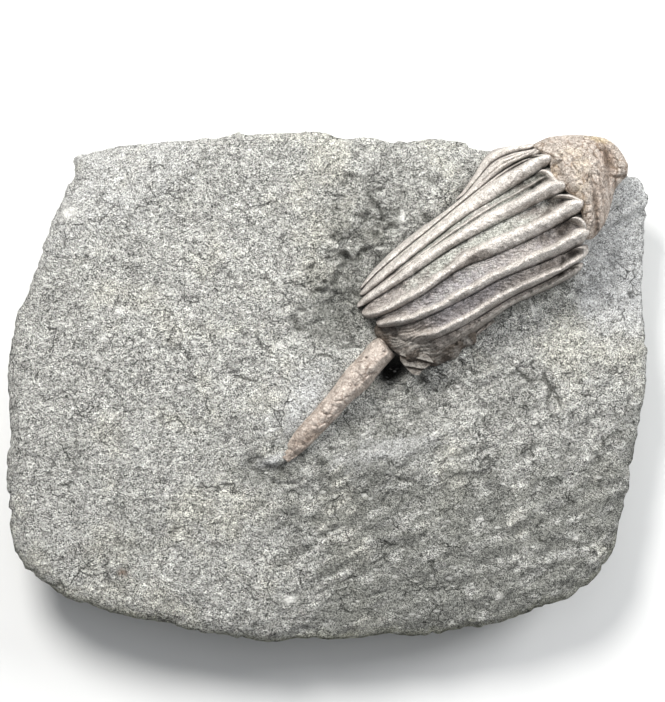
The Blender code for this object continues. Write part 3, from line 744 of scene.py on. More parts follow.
# %% Tool marks and tearing
LEDGE = [(-17.5, -7.5), (-15.5, -10.0), (-14.3, -12.6), (-13.2, -15.0), (-11.0, -15.9),
         (-8.6, -15.2), (-6.0, -13.4)]
DARK_LINES = [[(38.5, 3.4), (41.0, 1.0), (43.5, 1.6), (46.5, -1.5), (47.5, -4.5)],
              [(44.0, 2.5), (45.5, -0.5), (44.5, -3.5)], [(14.4, -18.8), (17.7, -19.4)],
              [(6.5, 33.2), (9.0, 34.6), (12.0, 33.6)], [(-1.0, 21.4), (1.5, 21.0)],
              [(-2.0, 6.6), (0.5, 6.2)], [(-19.0, 2.2), (-14.5, 1.0)],
              [(8.0, 39.0), (10.5, 36.8), (11.0, 34.2)], [(2.5, 27.0), (5.0, 25.6), (7.0, 26.2)]]
# Hills that say where the needle has worked, and how hard.
NEEDLED = [(1.0, 8.0, 33.0, 15.0, 20.0, -30), (0.8, 2.0, 14.0, 11.0, 9.0),
           (0.9, -9.0, -17.0, 9.0, 5.0), (0.7, 22.0, 0.0, 16.0, 7.0, 25)]
# Noise drawn out along a direction: its height, degrees, length, width and seed. A
# gouge is cut only where the noise is over the last number.
GOUGES = [(1.7, 38, 3.0, 1.2, 22, 0.25), (0.9, -20, 2.2, 0.8, 26, 0.3)]
TEARS = [(0.36, 32, 3.4, 0.9, 23), (0.42, 24, 7.5, 2.2, 24)]


def drawn(x, y, degrees, length, width, seed):
    """Noise on coordinates turned by an angle and stretched along it."""
    along, over = turned(x, y, degrees)
    return noise(along / length, over / width, 1.0, SEED + seed)


def dark_lines(x, y):
    return sum(bell(distance(x, y, line), 0.0, 0.35) for line in DARK_LINES)


def relief(x, y):
    """Even roughness, gouges by the trench and tears to the lower right."""
    near = clamp01(hills(x, y, NEEDLED))
    torn = step(-8.0, 18.0, x - 0.6 * (y + 10.0)) * (1 - 0.6 * near)
    bent = x + 1.3 * noise(x, y, 3.7, 31), y + 1.3 * noise(x, y, 3.1, 32)
    z = 0.21 * rough(x, y, 2.4, SEED + 11, 3) + 0.13 * drawn(x, y, -35, 2.2, 0.8, 25)
    z = z + 0.60 * near * drawn(*bent, -52, 3.4, 1.6, 21)
    for depth, *marks, threshold in GOUGES:
        z = z - depth * near * np.maximum(drawn(*bent, *marks) - threshold, 0.0)
    for height, *marks in TEARS:
        z = z + height * torn * drawn(*bent, *marks)
    outside = -distance(x, y, LEDGE)
    under = step(-0.1, 0.5, outside) * bell(np.maximum(outside, 0), 0.0, 4.5)
    return z - 0.7 * under * bump(x, y, -12.0, -14.0, 7.5, 7.0) - 0.5 * dark_lines(x, y)


some_x, some_y = np.meshgrid(np.linspace(-40, 40, 9), np.linspace(-30, 30, 7))
print("the fine relief is about", relief(some_x, some_y).std().round(2), "mm deep")

# %% [markdown]
# The slab is a fan of rings. They grow from a point on the face to the chipped
# outline, go on down the walls, which lean inwards and are broken into ledges, and
# close under the base. One grid for all of it leaves no seam at the rim.

# %% Outline and rings of the slab
SLAB_OUTLINE = [
    (-52.1, 43.4), (-51.9, 46.0), (-50.3, 47.5), (-42.1, 48.9), (-32.4, 49.5), (-24.3, 50.2),
    (-18.6, 51.5), (-16.6, 50.8), (-11.3, 51.1), (-7.2, 51.5), (-1.0, 51.2), (3.1, 49.9),
    (8.0, 50.2), (14.0, 49.7), (20.7, 50.1), (27.2, 49.3), (32.7, 48.0), (46.9, 45.4),
    (60.9, 43.0), (63.9, 41.7), (64.6, 39.5), (65.0, 38.7), (64.8, 33.0), (64.3, 27.9),
    (64.0, 18.2), (64.8, 9.9), (64.7, 3.9), (63.8, -3.9), (62.7, -9.7), (61.5, -16.4),
    (60.6, -23.1), (59.4, -26.4), (57.6, -33.6), (53.6, -39.2), (50.0, -42.5), (44.0, -44.2),
    (36.8, -47.3), (27.8, -49.3), (17.7, -50.5), (11.6, -49.9), (5.5, -51.1), (-2.9, -50.9),
    (-9.5, -51.5), (-17.8, -51.1), (-25.9, -49.6), (-33.4, -47.6), (-42.5, -46.0), (-50.9, -43.5),
    (-57.3, -39.9), (-62.1, -35.8), (-64.2, -29.8), (-65.0, -20.9), (-64.9, -12.2), (-64.2, -9.0),
    (-64.8, 0.8), (-64.1, 8.1), (-62.7, 14.9), (-60.9, 18.2), (-58.2, 27.1), (-57.3, 31.0),
    (-54.0, 37.6)]


FACE_CENTRE = (13.0, 8.5)
WALL_TAPER = 0.060  # how much narrower the underside is, as a share


def slab_rings(spokes=500, rings=150, wall_rings=24):
    """Face: centre + (outline - centre) * s. Walls: the outline, drawn in as it
    goes down, with ledges of noise; then three rings on the underside."""
    outline = smooth_outline(SLAB_OUTLINE, spokes)[::-1]
    reach = np.hypot(*(outline - FACE_CENTRE).T)
    s = (np.arange(1, rings + 1) / rings)[:, None] ** 1.06
    chips = 0.80 - 0.60 * np.maximum(rough(outline[:, 0], outline[:, 1], 3.2, SEED + 31), 0.0)
    chips = chips - 0.30 * np.abs(noise(outline[:, 0], outline[:, 1], 1.1, SEED + 33))
    inside = (1 - s) * reach * 0.85
    x, y = towards(outline, FACE_CENTRE, s * (1 + chips / reach * s**30))
    free = step(0.86, 1.02, np.abs(across(*to_crown(x, y))))
    z = slab_face(x, y, inside) + relief(x, y) * (0.25 + 0.75 * free)
    z = z - 0.5 * np.maximum(rough(x, y, 4.0, SEED + 35), 0.0) * np.exp(-inside / 1.2)

    down = (np.arange(1, wall_rings + 1) / wall_rings)[:, None]
    draw_in = 1.0 - WALL_TAPER * down**1.3 - 0.004
    around = np.linspace(0, 1, spokes, endpoint=False) * 430.0 + 0 * down
    depth = 22 * down + 0 * around
    ledge = -0.9 * np.abs(rough(around, 60 + depth, 6.0, SEED + 41))
    ledge = ledge * np.sin(np.pi * np.minimum(down * 1.02, 1.0)) ** 0.5
    grit = -0.35 * np.abs(rough(around, depth, 1.6, SEED + 44)) * (down < 1)
    outwards = outline / np.hypot(*outline.T)[:, None]
    wall = outline * draw_in[..., None] + outwards * (ledge + grit)[..., None]
    wall_z = z[-1] * (1 - down) - PLATEAU * down
    wall = np.concatenate([wall, wall_z[..., None]], -1)
    base = [wall[-1:] * (share, share, 1) for share in (0.985, 0.6, 0.2)]
    return np.concatenate([np.stack([x, y, z], -1), wall, *base]), inside


slab, slab_inside = slab_rings()
print("slab rings:", slab.shape)

# %% [markdown]
# Masks for the slab: painted shade in the deepest gouges, round the crown, in the
# trench, below the crown and in the cavity, painted light on slopes that face the
# lamp and right of the cup, and ground that grows darker towards the bottom. The
# broken edge is a little weathered and greenish, and a few shell bits and one rusty
# spot lie where the real stone shows them. A spot is a hill function of x and y.

# %% Masks of the slab
# A shell bit's middle and two radii; a sliver has its degrees as well.
SHELLS = [(-45.4, 9.9, 1.0, .8), (-46.8, 5.9, .9, .7), (-42.5, 15.2, .9, .8),
          (-29.8, -.2, .8, .7), (-53.0, 35.4, 2.4, 1.5), (-7.9, -43.2, 1.5, .8),
          (34.7, -42.8, 1.0, .7), (-9.9, 8.5, .9, .7), (24.2, 5.6, .7, .6),
          (-20.0, 27.0, .8, .6), (31.0, -27.0, .9, .6), (-33.0, -22.0, .7, .5),
          (50.5, -30.8, .9, .6), (42.0, -6.0, .8, .4), (3.0, -38.0, .8, .5)]
SLIVERS = [(15.1, 34.9, .35, 2.1, -4), (41.7, 16.4, .3, 1.9, 15), (51.0, 18.0, .3, 1.7, 20),
           (26.5, 31.0, .25, 1.0, 30), (7.5, -9.5, .3, 1.2, -60)]
# Painted light: the ramp beside the tube, the far bank below it and the lump at the tube's end,
# which face the lamp.
LIT_SPOTS = [(0.7, -5, -3, 9, 6, 45), (0.6, 12, -13, 12, 3, 10),
              (0.8, -11.3, -14.8, 2.6, 1.2, 20)]
# Painted shade: the trench's slope, the ground below the crown and under the ledge.
SHADED_SPOTS = [(0.66, 9, 31, 10, 18, -28), (0.62, 0, 14, 8, 9), (0.5, 20, -3, 14, 6, 25),
             (0.5, -13, -18, 8, 3)]


def slab_masks(points, inside):
    """Hills, noises and steps of the place; all but the rind are for the face only."""
    x, y, z = np.moveaxis(points, -1, 0)
    face = (np.arange(len(x)) < len(inside))[:, None] * np.ones(x.shape[1])
    inside = np.concatenate([inside, np.zeros((len(x) - len(inside), x.shape[1]))])
    # The deepest gouges are darkened: painted shade.
    gouges = clamp01(-relief(x, y) * 1.2 - 0.30)
    q, w = to_crown(x, y)
    u = across(q, w)
    # A ring round the crown's outline is darkened, most on its lower side: painted shade where
    # crown and slab meet.
    crown_edge_shade = step(1.30, 1.0, np.abs(u)) * step(-3, 0, q) * step(50, 44, q)
    crown_edge_shade = crown_edge_shade * (0.45 + 0.55 * step(1.0, -1.0, u))
    # The pit under the arm tips is darkened: painted shade.
    pit = bump(x, y, 13.4, 3.9, 3.0, 2.2, 20)
    # The ground right of the cup is lightened: painted light where the cup shades it.
    right = step(48, 54, x) * step(6, 20, y)
    # The top left facet slopes towards the lamp and is lightened: painted light.
    facet = step(-14.0, 6.0, distance(x, y, FACET_EDGE))
    rind = np.exp(-inside / 0.9) * 0.8 * step(-20, -44, y)
    rind = rind + (1 - face) * (0.55 + 0.5 * noise(x * 3 + y, z * 2, 9.0, SEED + 50))
    shell = sum(bump(x, y, a, b, 0.8 * c, 0.8 * d, 30) for a, b, c, d in SHELLS)
    shell = shell + sum(bump(x, y, *sliver) for sliver in SLIVERS)
    # The slab grows darker towards the bottom and the lower right.
    low = step(12, -30, y) * step(-24, 4, x + 0.4 * y + 10) * 0.74 + 0.24 * step(0, -40, y)
    low = low * (1 + 0.8 * drawn(x, y, 27, 3.6, 1.3, 62)) + 0.22 * noise(x, y, 13.0, SEED + 61)
    masks = {"hollow": gouges * 0.8 + 0.8 * dark_lines(x, y) + 0.5 * crown_edge_shade + 1.2 * pit,
             "pale": hills(x, y, LIT_SPOTS) + 0.45 * facet + right,
             "dim": low + hills(x, y, SHADED_SPOTS), "shell": shell * 1.3,
             # The cavity is painted near black: painted shadow.
             "cavity": 1.9 * bump(x, y, 13.0, 3.7, 3.4, 1.9, 52) - 0.3,
             "iron": bump(x, y, -41.9, -37.7, 1.1, 0.9)}
    return {"rind": clamp01(rind), **{label: clamp01(v) * face for label, v in masks.items()}}


skin("slab_of_siltstone", slab, siltstone, slab_masks(slab, slab_inside), "matrix_slab")

# %% [markdown]
# ## The arms
# Each arm is a row of small plates with feathery branchlets folded against it.
# Fossilised, it reads as a rounded pale rib beside a flatter, greyer band, and
# the rib drops steeply into the groove of the next arm. So across the strip the
# height is a band, then a ridge at a crest line; along it the plates give slight
# swellings and the branchlets fine slanting furrows.

# %% Crest lines and ends of the arms
# For each arm: its two lines, where it starts and ends along q (None: at the cup), its
# crest as points (q, w), and how wide the rib falls off above the crest.
ARMS = [
    (0, 1, 28.0, None, [(28, 7.8), (30, 8.1), (34, 9.5), (38, 10.9), (41, 10.4),
                        (45, 8.6)], 0.9),
    (0, 2, 1.7, None, [(2, 3.2), (6, 4.3), (10, 5.1), (14, 5.6), (18, 5.9), (22, 6.2),
                       (26, 6.5), (30, 7.1), (34, 8.1), (38, 8.8), (44, 7.6)], 0.9),
    (2, 3, 0.9, None, [(2, 2.1), (6, 2.8), (10, 3.2), (14, 3.5), (18, 4.0), (22, 4.4),
                       (26, 5.0), (30, 5.4), (34, 5.7), (38, 5.6), (46, 5.0)], 1.25),
    (3, 4, -0.9, None, [(-1, 0.2), (2, 0.6), (6, 0.5), (10, 0.7), (14, 1.1), (18, 1.2),
                        (22, 1.2), (30, 0.9), (38, 0.2), (46, -0.6)], 1.3),
    (4, 5, -0.9, None, [(-1, -1.7), (2, -3.0), (6, -3.9), (10, -4.1), (14, -4.0),
                        (18, -3.7), (22, -3.3), (30, -4.2), (38, -5.4), (46, -6.2)], 1.45),
    (5, 6, 0.4, None, [(0, -4.9), (2, -5.8), (6, -7.4), (10, -8.2), (18, -9.2),
                       (26, -9.6), (34, -10.7), (42, -11.7), (46, -11.8)], 1.4),
    (6, 7, 2.8, None, [(3, -9.8), (6, -11.6), (10, -12.9), (14, -13.8), (22, -14.1),
                       (30, -14.8), (38, -15.8), (44, -16.0)], 1.45),
    (7, 8, 6.4, None, [(7, -15.6), (14, -16.2), (22, -16.1), (30, -16.9), (38, -17.8)], 1.1),
    (8, 9, 6.6, 21.0, [(7, -17.4), (10, -17.8), (14, -17.7), (21, -17.4)], 0.9),
]
# How far along q the arms reach at the cup, as points (w, q).
ARM_ENDS = [(-18.9, 39.8), (-16.1, 43.0), (-13.6, 44.6), (-11.3, 46.0),
            (-8.2, 46.9), (-5.5, 47.4), (-3.4, 46.7), (0.1, 45.7), (3.6, 47.0),
            (5.7, 47.0), (7.0, 46.6), (8.0, 46.0), (9.2, 45.2), (12.6, 41.0)]
SECOND_RIB = [(30, 6.9), (34, 7.4), (38, 8.0), (44, 7.2)]
THIN_RIBS = {2: 0.35, 3: 0.28, 4: 0.42}  # arm: place between its upper line and crest
FANS = {7: 9.0, 8: 17.0, 9: 40.0}  # arm: how far from its tip the branchlets fan out
print(len(ARMS), "arms with", sum(len(arm[4]) for arm in ARMS), "points on their crests")

# %% [markdown]
# The strip between two grooves is a grid: q runs along its rows and w across its
# columns. What later steps need is kept in one bag of named arrays, so that each
# step can be read on its own. The fourth arm is printed as an example.

# %% The strip of an arm
def arm_strip(number, first, second, start, end, crest, width, rows=230, columns=54):
    """q and w between two lines, with all that the next steps need, in one bag. The
    tip narrows to the crest as an ellipse does."""
    t = np.linspace(0, 1, columns)
    w_end = line_at(first, 45.0) * (1 - t) + line_at(second, 45.0) * t
    q_end = np.interp(w_end, *np.array(ARM_ENDS).T) + 0.9
    q_end = q_end - 1.5 * np.abs(2 * t - 1) ** 3 * (number > 2)
    if end is not None:
        q_end = np.full(columns, end)
    q = start + (q_end - start) * np.linspace(0, 1, rows)[:, None]
    left = q_end - q if end is None else 20.0 + 0 * q  # what is left before the cup
    high, low = line_at(first, q), line_at(second, q)
    if second == 2:
        high = np.minimum(high, line_at(1, q))
    wide = high - low
    inset = np.minimum(0.05, 0.2 * wide)
    w = high - inset - (wide - 2 * inset) * t
    peak = np.clip(through(crest, q), low + 0.25 * wide, high - 0.2 * wide)
    wave = 0.22 * noise(q, number * 9.0, 4.2, 60 + number)
    wave = wave + 0.10 * noise(q, number * 9.0, 1.7, 50 + number)
    peak = peak + wave * clamp01(wide / 3)
    peak = peak - 0.30 * (peak - low) * step(3.0, 0.2, left)
    tip = clamp01((q - start) / 2.6)
    w = peak + (w - peak) * (0.20 + 0.80 * np.sqrt(1 - (1 - tip) ** 2))
    fall = width * (1 + 0.45 * bell(left, 2.5, 2.6) * (number > 2))
    return SimpleNamespace(number=number, t=t, q=q, w=w, since=q - start, left=left,
                           high=high, low=low, peak=peak, wave=wave, fall=fall)


sample = arm_strip(4, *ARMS[3])
print("the fourth arm:", np.ptp(sample.q).round(1), "mm long,",
      (sample.high - sample.low).max().round(1), "mm wide")

# %% [markdown]
# Across the strip a rib is a cosine, so it has no hard edge. Finer ribs are bells
# on lines of their own, and taking the larger of two shapes joins them without
# adding up their heights.

# %% The ribs of an arm
def arm_ridge(arm):
    """With u = |w - crest| / side width, the rib is (1 + cos πu) / 2 above the crest
    and (cos πu/2)^0.85 below it. The larger of it and the finer ribs counts."""
    number, q, w, high, peak, left = arm.number, arm.q, arm.w, arm.high, arm.peak, arm.left
    u = np.where(w > peak, (w - peak) / np.minimum(arm.fall, high - peak + 0.2),
                 (peak - w) / np.maximum(peak - arm.low, 0.1))
    above = 0.5 + 0.5 * np.cos(np.pi * clamp01(u))
    below = np.cos(np.pi / 2 * clamp01(u)) ** 0.85
    ridge = np.where(w > peak, above, below)
    if number > 2:  # the end curls over and closes the valley above the rib
        curl = bell(left - 0.25 * np.abs(w - peak), 1.2, 0.85) * (w > peak)
        ridge = np.maximum(ridge, 0.85 * curl)
    if number == 2:  # this arm carries a second fine rib towards the cup
        extra = bell(w, through(SECOND_RIB, q), 0.45) * step(31, 35, q)
        ridge = np.maximum(ridge * (1 - 0.6 * extra), 0.85 * extra)
    if number in THIN_RIBS:
        thin = bell(w, high - THIN_RIBS[number] * (high - peak), 0.30)
        thin = thin * step(2, 8, q) * step(0.5, 4, left)
        ridge = np.maximum(ridge, (0.50 + 0.15 * noise(q, w, 4.0, 74)) * thin)
    fan = FANS.get(number, 0.0)
    arm.splayed = step(fan, 0.25 * fan, arm.since) if fan else 0.0 * w
    arm.ridge = ridge * (1 - 0.55 * arm.splayed)
    arm.flat = 1 - arm.ridge


arm_ridge(sample)
print("share of it that is rib:", (sample.ridge > 0.5).mean().round(2))

# %% [markdown]
# Real arms are worn. Their plates swell a little, branchlets leave slanting
# furrows, and clots of stone fill the valleys. Patterns that both the height and
# the masks read, painted shade as well, are worked out once; the height then adds
# its terms one by one.

# %% The surface of an arm
ARM_SEAT, RIB_HEIGHT = 1.45, 2.35  # below the round back of the crown, and up again
PLATE_PITCH, FURROW_PITCH, FIBRE_PITCH = 1.35, 0.66, 0.75


def fan_out(q, w):
    """Lines along which the branchlets fan out: w - 0.02 (q - 12)² is constant."""
    return w - 0.020 * (q - 12) ** 2


def arm_marks(arm):
    """Patterns that the height and the masks both read."""
    number, q, w, left = arm.number, arm.q, arm.w, arm.left
    slant = q * 0.55 + w * 0.95 + 0.6 * noise(q, w, 2.0, 75)
    arm.furrow = np.sin(2 * np.pi * slant / FURROW_PITCH)
    fibre = np.sin(2 * np.pi * (fan_out(q, w) + 0.5 * noise(q, w, 3.0, 76)) / FIBRE_PITCH)
    arm.fibre = fibre * (0.6 + 0.6 * noise(q * 0.3, w, 1.1, 78))
    arm.valley = arm.flat * step(15.0, 5.0, left) * step(0.4, 2.2, left) * (number > 2)
    arm.calm = (1 - arm.splayed) * (1 - 0.8 * clamp01(arm.valley * 1.5))
    arm.calm = arm.calm * (0.35 + 0.65 * (number > 4))
    bare = step(0.40, 0.65, noise(q, w, 4.5, 71) * 0.5 + 0.5)
    arm.bare = bare * arm.flat * (number < 6)
    arm.root = np.sqrt(1 - (1 - clamp01(left / 3.2 + 0.01)) ** 2)
    cut = 0.14 + 0.70 * step(-0.5, 0.6, noise(q, number * 7.0, 5.0, 61))
    arm.cut = cut * {1: 0.25, 2: 0.3, 3: 0.45, 4: 0.65}.get(number, 1.0)


def arm_top(arm, x, y):
    """Crown's back + band + rib, then plates, furrows, grit, clots of stone in the
    valley, a knob and a round root at the cup, and a drop at both sides."""
    number, q, w, left = arm.number, arm.q, arm.w, arm.left
    ridge, flat, splayed = arm.ridge, arm.flat, arm.splayed
    strength = clamp01((arm.high - arm.low) / 2.6) * 0.55 + 0.45
    top = crown_height(q, w) - ARM_SEAT + (0.15 + RIB_HEIGHT * ridge) * strength
    joint = (q + 0.25 * (w - arm.peak) + 0.5 * arm.wave) / PLATE_PITCH
    top = top + 0.07 * (np.abs(np.sin(np.pi * joint)) ** 0.6 - 0.6) * ridge
    top = top + 0.075 * arm.furrow * flat * arm.calm + 0.17 * arm.fibre * splayed
    top = top + 0.16 * rough(x, y, 1.9, 80 + number) * (0.5 + 0.9 * flat)
    top = top + (0.10 + 0.10 * (number in (3, 4))) * rough(x, y, 0.75, 84, 2) * flat
    top = top + 0.09 * rough(x, y, 0.8, 90 + number)
    top = top + 0.30 * arm.bare * rough(x, y, 0.9, 99, 2)
    clots = np.maximum(noise(q / 1.8, w, 1.3, 72) - 0.15, 0.0) * flat * (number > 2)
    top = top + 0.60 * clots * (1 - splayed)
    top = top - arm.valley * (1.5 + 0.6 * rough(x, y, 1.6, 97, 2))
    knob = bell(left, 2.4, 1.5) * ridge**2 * (number > 2)
    top = top + (0.55 + 0.25 * noise(q, w, 2.0, 96)) * knob
    top = top - (1 - np.sqrt(clamp01(arm.since / 2.0 + 0.03))) * 1.9
    top = top - (1 - arm.root) * (2.2 + 0.6 * flat)
    wall = step(0.0, 0.05, arm.t) * step(1.0, 0.95, arm.t)
    return top - arm.cut * (1 - wall)


arm_marks(sample)
print("its grooves are", sample.cut.max().round(2), "mm deep at most")

# %% [markdown]
# The masks tell the material where the arm is band or rib, where slab stone sticks,
# where iron stains and dark patches lie, and where shade is painted: in the grooves,
# furrows and valleys, and in iron brown on the lower arms and the ribs' lower flanks.

# %% The masks of an arm
LILAC = [(1.0, 17.0, -8.0, 12.0, 3.6), (0.9, 15.0, -12.0, 9.0, 2.4),
         (0.4, 38.0, -9.5, 6.0, 3.0)]  # hills in q and w
STONE_KEPT = {3: 0.7, 4: 1.0, 5: 1.1, 6: 0.35}  # arm: slab stone left in its valley
# Iron brown on each of the lower arms: partly their stain, partly painted shade, as they face away
# from the lamp.
RUST_AND_SHADE = {5: 0.16, 6: 0.24, 7: 0.42, 8: 0.60, 9: 0.65}


def arm_masks(arm):
    """Painted shade lies along both grooves, in the furrows, the valleys and between the
    fanned branchlets and at the root; the branchlets are darker, and one dark spot and
    random dark patches come on top.
    """
    number, q, w, ridge, flat = arm.number, arm.q, arm.w, arm.ridge, arm.flat
    splayed = arm.splayed
    # Painted shade along the grooves, strongest along the lower one, where the rib drops away from
    # the lamp.
    groove_shade = 0.74 * bell(w, arm.low, 0.29) + 0.22 * bell(w, arm.high, 0.3)
    groove_shade = groove_shade * (0.10 + 1.0 * arm.cut) * (1 - splayed) * (0.45 if number < 4 else 1.0)
    shade = groove_shade + 0.26 * clamp01(-arm.furrow) * flat * arm.calm + 0.45 * (1 - arm.root)
    shade = shade + 0.75 * bump(q, w, 23.4, -4.3, 1.5, 0.7) * (number == 5)
    shade = shade + splayed * (0.25 + 0.45 * clamp01(-arm.fibre))
    shade = shade + arm.valley * clamp01(0.50 + 0.5 * noise(q, w, 1.7, 98))
    shade = shade + 0.45 * flat * clamp01(noise(q, w * 2.2, 3.1, 73) - 0.1) * (number > 3)
    shade = shade + 0.55 * arm.bare * clamp01(-noise(q, w, 0.9, 100)) * (number > 2)
    kept = flat**2 * step(6.0, 13.0, q) * (0.75 + 0.6 * noise(q * 0.6, w, 2.6, 101))
    # Iron brown on the ribs' flanks, about three times more on the lower one: painted shade.
    flank_shade = np.where(w < arm.peak, 1.0, 0.35) * ridge * (1 - ridge) * 4
    rust_and_shade = RUST_AND_SHADE.get(number, 0.0) + 0.5 * splayed
    rust_and_shade = rust_and_shade + 0.45 * step(6.0, 0.5, arm.since) * (number in (3, 4, 5, 6))
    rust_and_shade = rust_and_shade + 1.2 * bump(q, w, 23.0, -4.4, 2.8, 1.0) * (number == 5)
    rust_and_shade = rust_and_shade + 0.55 * flank_shade * step(-0.2, 0.7, noise(q, w, 3.6, 77))
    return {"band": (1 - step(0.15, 0.6, ridge)) * (1 - 0.6 * splayed),
            "lilac": clamp01(hills(q, w, LILAC)) * flat * (1 - splayed),
            "matrix": clamp01(kept * STONE_KEPT.get(number, 0.0)),
            "hollow": clamp01(shade), "iron": clamp01(rust_and_shade)}


print("masks:", ", ".join(arm_masks(sample)))

# %% Build the arms
def arm_rings(number, *shape):
    arm = arm_strip(number, *shape)
    arm_ridge(arm)
    arm_marks(arm)
    x, y = from_crown(arm.q, arm.w)
    top = arm_top(arm, x, y)
    bottom = np.minimum(fill_height(arm.q, arm.w) - 0.2, top - 0.3)
    return as_tube((x, y, top), (x, y, bottom), arm_masks(arm), 12)


for number, arm in enumerate(ARMS, 1):
    rings, masks = arm_rings(number, *arm)
    skin(f"arm_rib_{number:02d}", rings, arm_stone, masks, f"arm_{number:02d}")

# %% [markdown]
# ## The cup
# The calyx is a bowl of many small plates, each a shallow dome, with the pit at
# its far end where the stem broke away. A polar grid suits a bowl. The plates are
# cells around random points: half the difference of the two nearest distances is
# zero on a seam and grows towards a plate's middle.

# %% The calyx
# Points round the cup (q, w) with the height of its lower edge there.
CALYX_OUTLINE = [
    (47.0, 8.0, 4.4), (48.9, 8.1, 4.2), (51.0, 7.3, 4.0), (54.7, 5.3, 3.8), (58.4, 2.4, 3.4),
    (59.8, 0.7, 3.2), (60.4, -1.0, 3.0), (60.5, -2.7, 2.8), (60.3, -5.2, 2.5), (59.8, -6.4, 2.2),
    (58.9, -7.3, 1.9), (57.5, -7.6, 1.6), (56.0, -8.1, 1.4), (54.1, -9.6, 1.2), (52.3, -11.3, 1.0),
    (50.1, -12.9, 1.0), (47.2, -14.0, 2.0), (45.5, -13.6, 6.0), (46.6, -11.3, 8.6),
    (47.5, -8.2, 10.2), (48.0, -5.5, 11.0), (47.3, -3.4, 11.2), (46.3, 0.1, 10.8),
    (47.6, 3.4, 8.4), (47.5, 5.8, 6.8)]
CALYX_TOP = (51.5, -2.6, 12.2)  # q, w, height
# Hills in x and y: the place, two radii and the degrees they are turned by.
PIT = (55.9, 45.4, 1.35, 2.6, 15)
KNOB = (59.3, 45.0, 1.5, 3.0, 15)
TORN_EDGE = (53.0, 36.6, 0.8, 2.6, 8)
PIT_RIM = [(54.3, 48.2), (54.9, 46.2), (55.5, 44.2), (56.0, 42.4)]
KNOB_FOOT = [(56.2, 42.3), (57.6, 42.0), (59.6, 42.5)]
CUP_PLATE, FOLD_PITCH = 1.75, 1.9
# The skirt under the cup: rings this far out, and this deep under its edge.
SKIRT = np.array([(0.985, 1.2), (0.96, 2.6), (0.92, 4.2), (0.84, 6.5), (0.62, 9.5),
                  (0.3, 9.5)])


def calyx_rings(columns=280, rows=130):
    """Dome: z = edge + (top - edge) * (1 - 0.6 taper) * sqrt(1 - s^2.3), where the
    taper grows towards the stem, less the pit's dip, plus a rim, a knob, upright
    folds below them and a fine network of plates."""
    outline = smooth_outline(CALYX_OUTLINE, columns)
    *middle, top = CALYX_TOP
    s = np.sin(np.linspace(0.02, 1, rows) * np.pi / 2)[:, None]
    joined = step(50.0, 48.3, outline[:, 0]) * step(-14.5, -13.0, outline[:, 1])
    inner = outline[:, :2] - np.stack([1.1 * joined, 0 * joined], -1)
    q, w = towards(inner, middle, s)
    on_crown = np.maximum(crown_height(*inner.T) - 1.35, 3.0)
    edge_z = outline[:, 2] * (1 - joined) + on_crown * joined
    rise = (top - edge_z) * (1 - 0.60 * step(48.0, 61.0, q))
    z = edge_z + rise * np.sqrt(1 - s**2.3 * 0.999)
    x, y = from_crown(q, w)

    pit, knob = bump(x, y, *PIT), bump(x, y, *KNOB)
    rim = bell(distance(x, y, PIT_RIM), 0.0, 0.55)
    foot = bell(distance(x, y, KNOB_FOOT), 0.0, 0.30)
    z = z - 2.3 * pit + 0.45 * rim + 1.6 * knob**0.8 - 0.45 * foot
    low_side = step(43.5, 41.0, y) * step(50.5, 53.5, x)
    folds = x + 0.13 * (y - 36) + 0.4 * noise(x, y, 5.0, 131)
    folds = np.sin(2 * np.pi * folds / FOLD_PITCH)
    z = z + 0.24 * folds * low_side * (0.6 + 0.5 * noise(x, y, 2.6, 137))
    z = z - 0.9 * bump(x, y, *TORN_EDGE)

    bend = 0.35 * noise(x, y, 1.6, 139)  # bends the plates' outlines
    near, far, tint = cells(np.stack([x + bend, y - bend, z], -1), CUP_PLATE, 5)
    seam = far - near
    crease = noise((x * 0.8 + y * 0.6) / 0.9, (y * 0.8 - x * 0.6) / 2.6, 1.0, 133)
    push = 0.30 * step(0.0, 0.50, seam) - 0.15 + 0.12 * tint + 0.14 * crease
    push = push + 0.24 * rough(x, y, 2.4, 130) + 0.08 * rough(x + z, y - z, 0.7, 134)
    z = z + push * (1 - 0.5 * foot) - 0.9 * np.abs(noise(x, y, 1.9, 143)) * knob

    under_x, under_y = from_crown(*towards(outline, middle, SKIRT[:, :1]))
    under_z = np.maximum(edge_z - SKIRT[:, 1:], seat(under_x, under_y) - 0.2)
    rings = np.concatenate([np.stack([x, y, z], -1), np.stack([under_x, under_y, under_z], -1)])
    worn = 0.35 + 0.65 * step(-0.5, 0.6, noise(x, y, 3.2, 136))
    suture = clamp01(1.0 - seam / 0.17) * worn + 0.5 * step(0.35, 0.75, -crease)
    # Painted shade: darker in the stem's pit, along the knob's foot, in the folds' troughs, in the
    # torn dent and two more spots.
    dark = 0.85 * pit + 0.7 * foot + 0.5 * clamp01(-folds) * low_side
    dark = dark + hills(x, y, [(0.8, 53.0, 36.8, 0.9, 2.8, 8), (0.5, 55.3, 42.1, 0.5, 1.0),
                               (0.5, 53.5, 31.5, 1.6, 1.6)])
    ochre = 0.28 * step(0.1, 0.8, noise(x, y, 3.6, 141)) * step(56, 50, x)
    ochre = ochre + bump(x, y, 54.2, 49.8, 2.6, 0.8, -10)
    brown = 0.9 * pit - 0.6 * knob + 0.22 * step(48, 54, x) * step(60, 56, x) + 0.15 * low_side
    # The skirt under the cup's edge gets painted shade as well.
    masks = {"suture": (suture, 0.2), "hollow": (dark, 0.4), "ochre": (ochre, 0.0),
             "iron": (brown, 0.5)}  # on the dome, and on the whole skirt
    return rings, {label: np.concatenate([clamp01(dome) + 0 * q,
                                          np.full((len(SKIRT), columns), skirt)])
                   for label, (dome, skirt) in masks.items()}


rings, masks = calyx_rings()
skin("calyx_cup", rings, cup_stone, masks, "calyx")

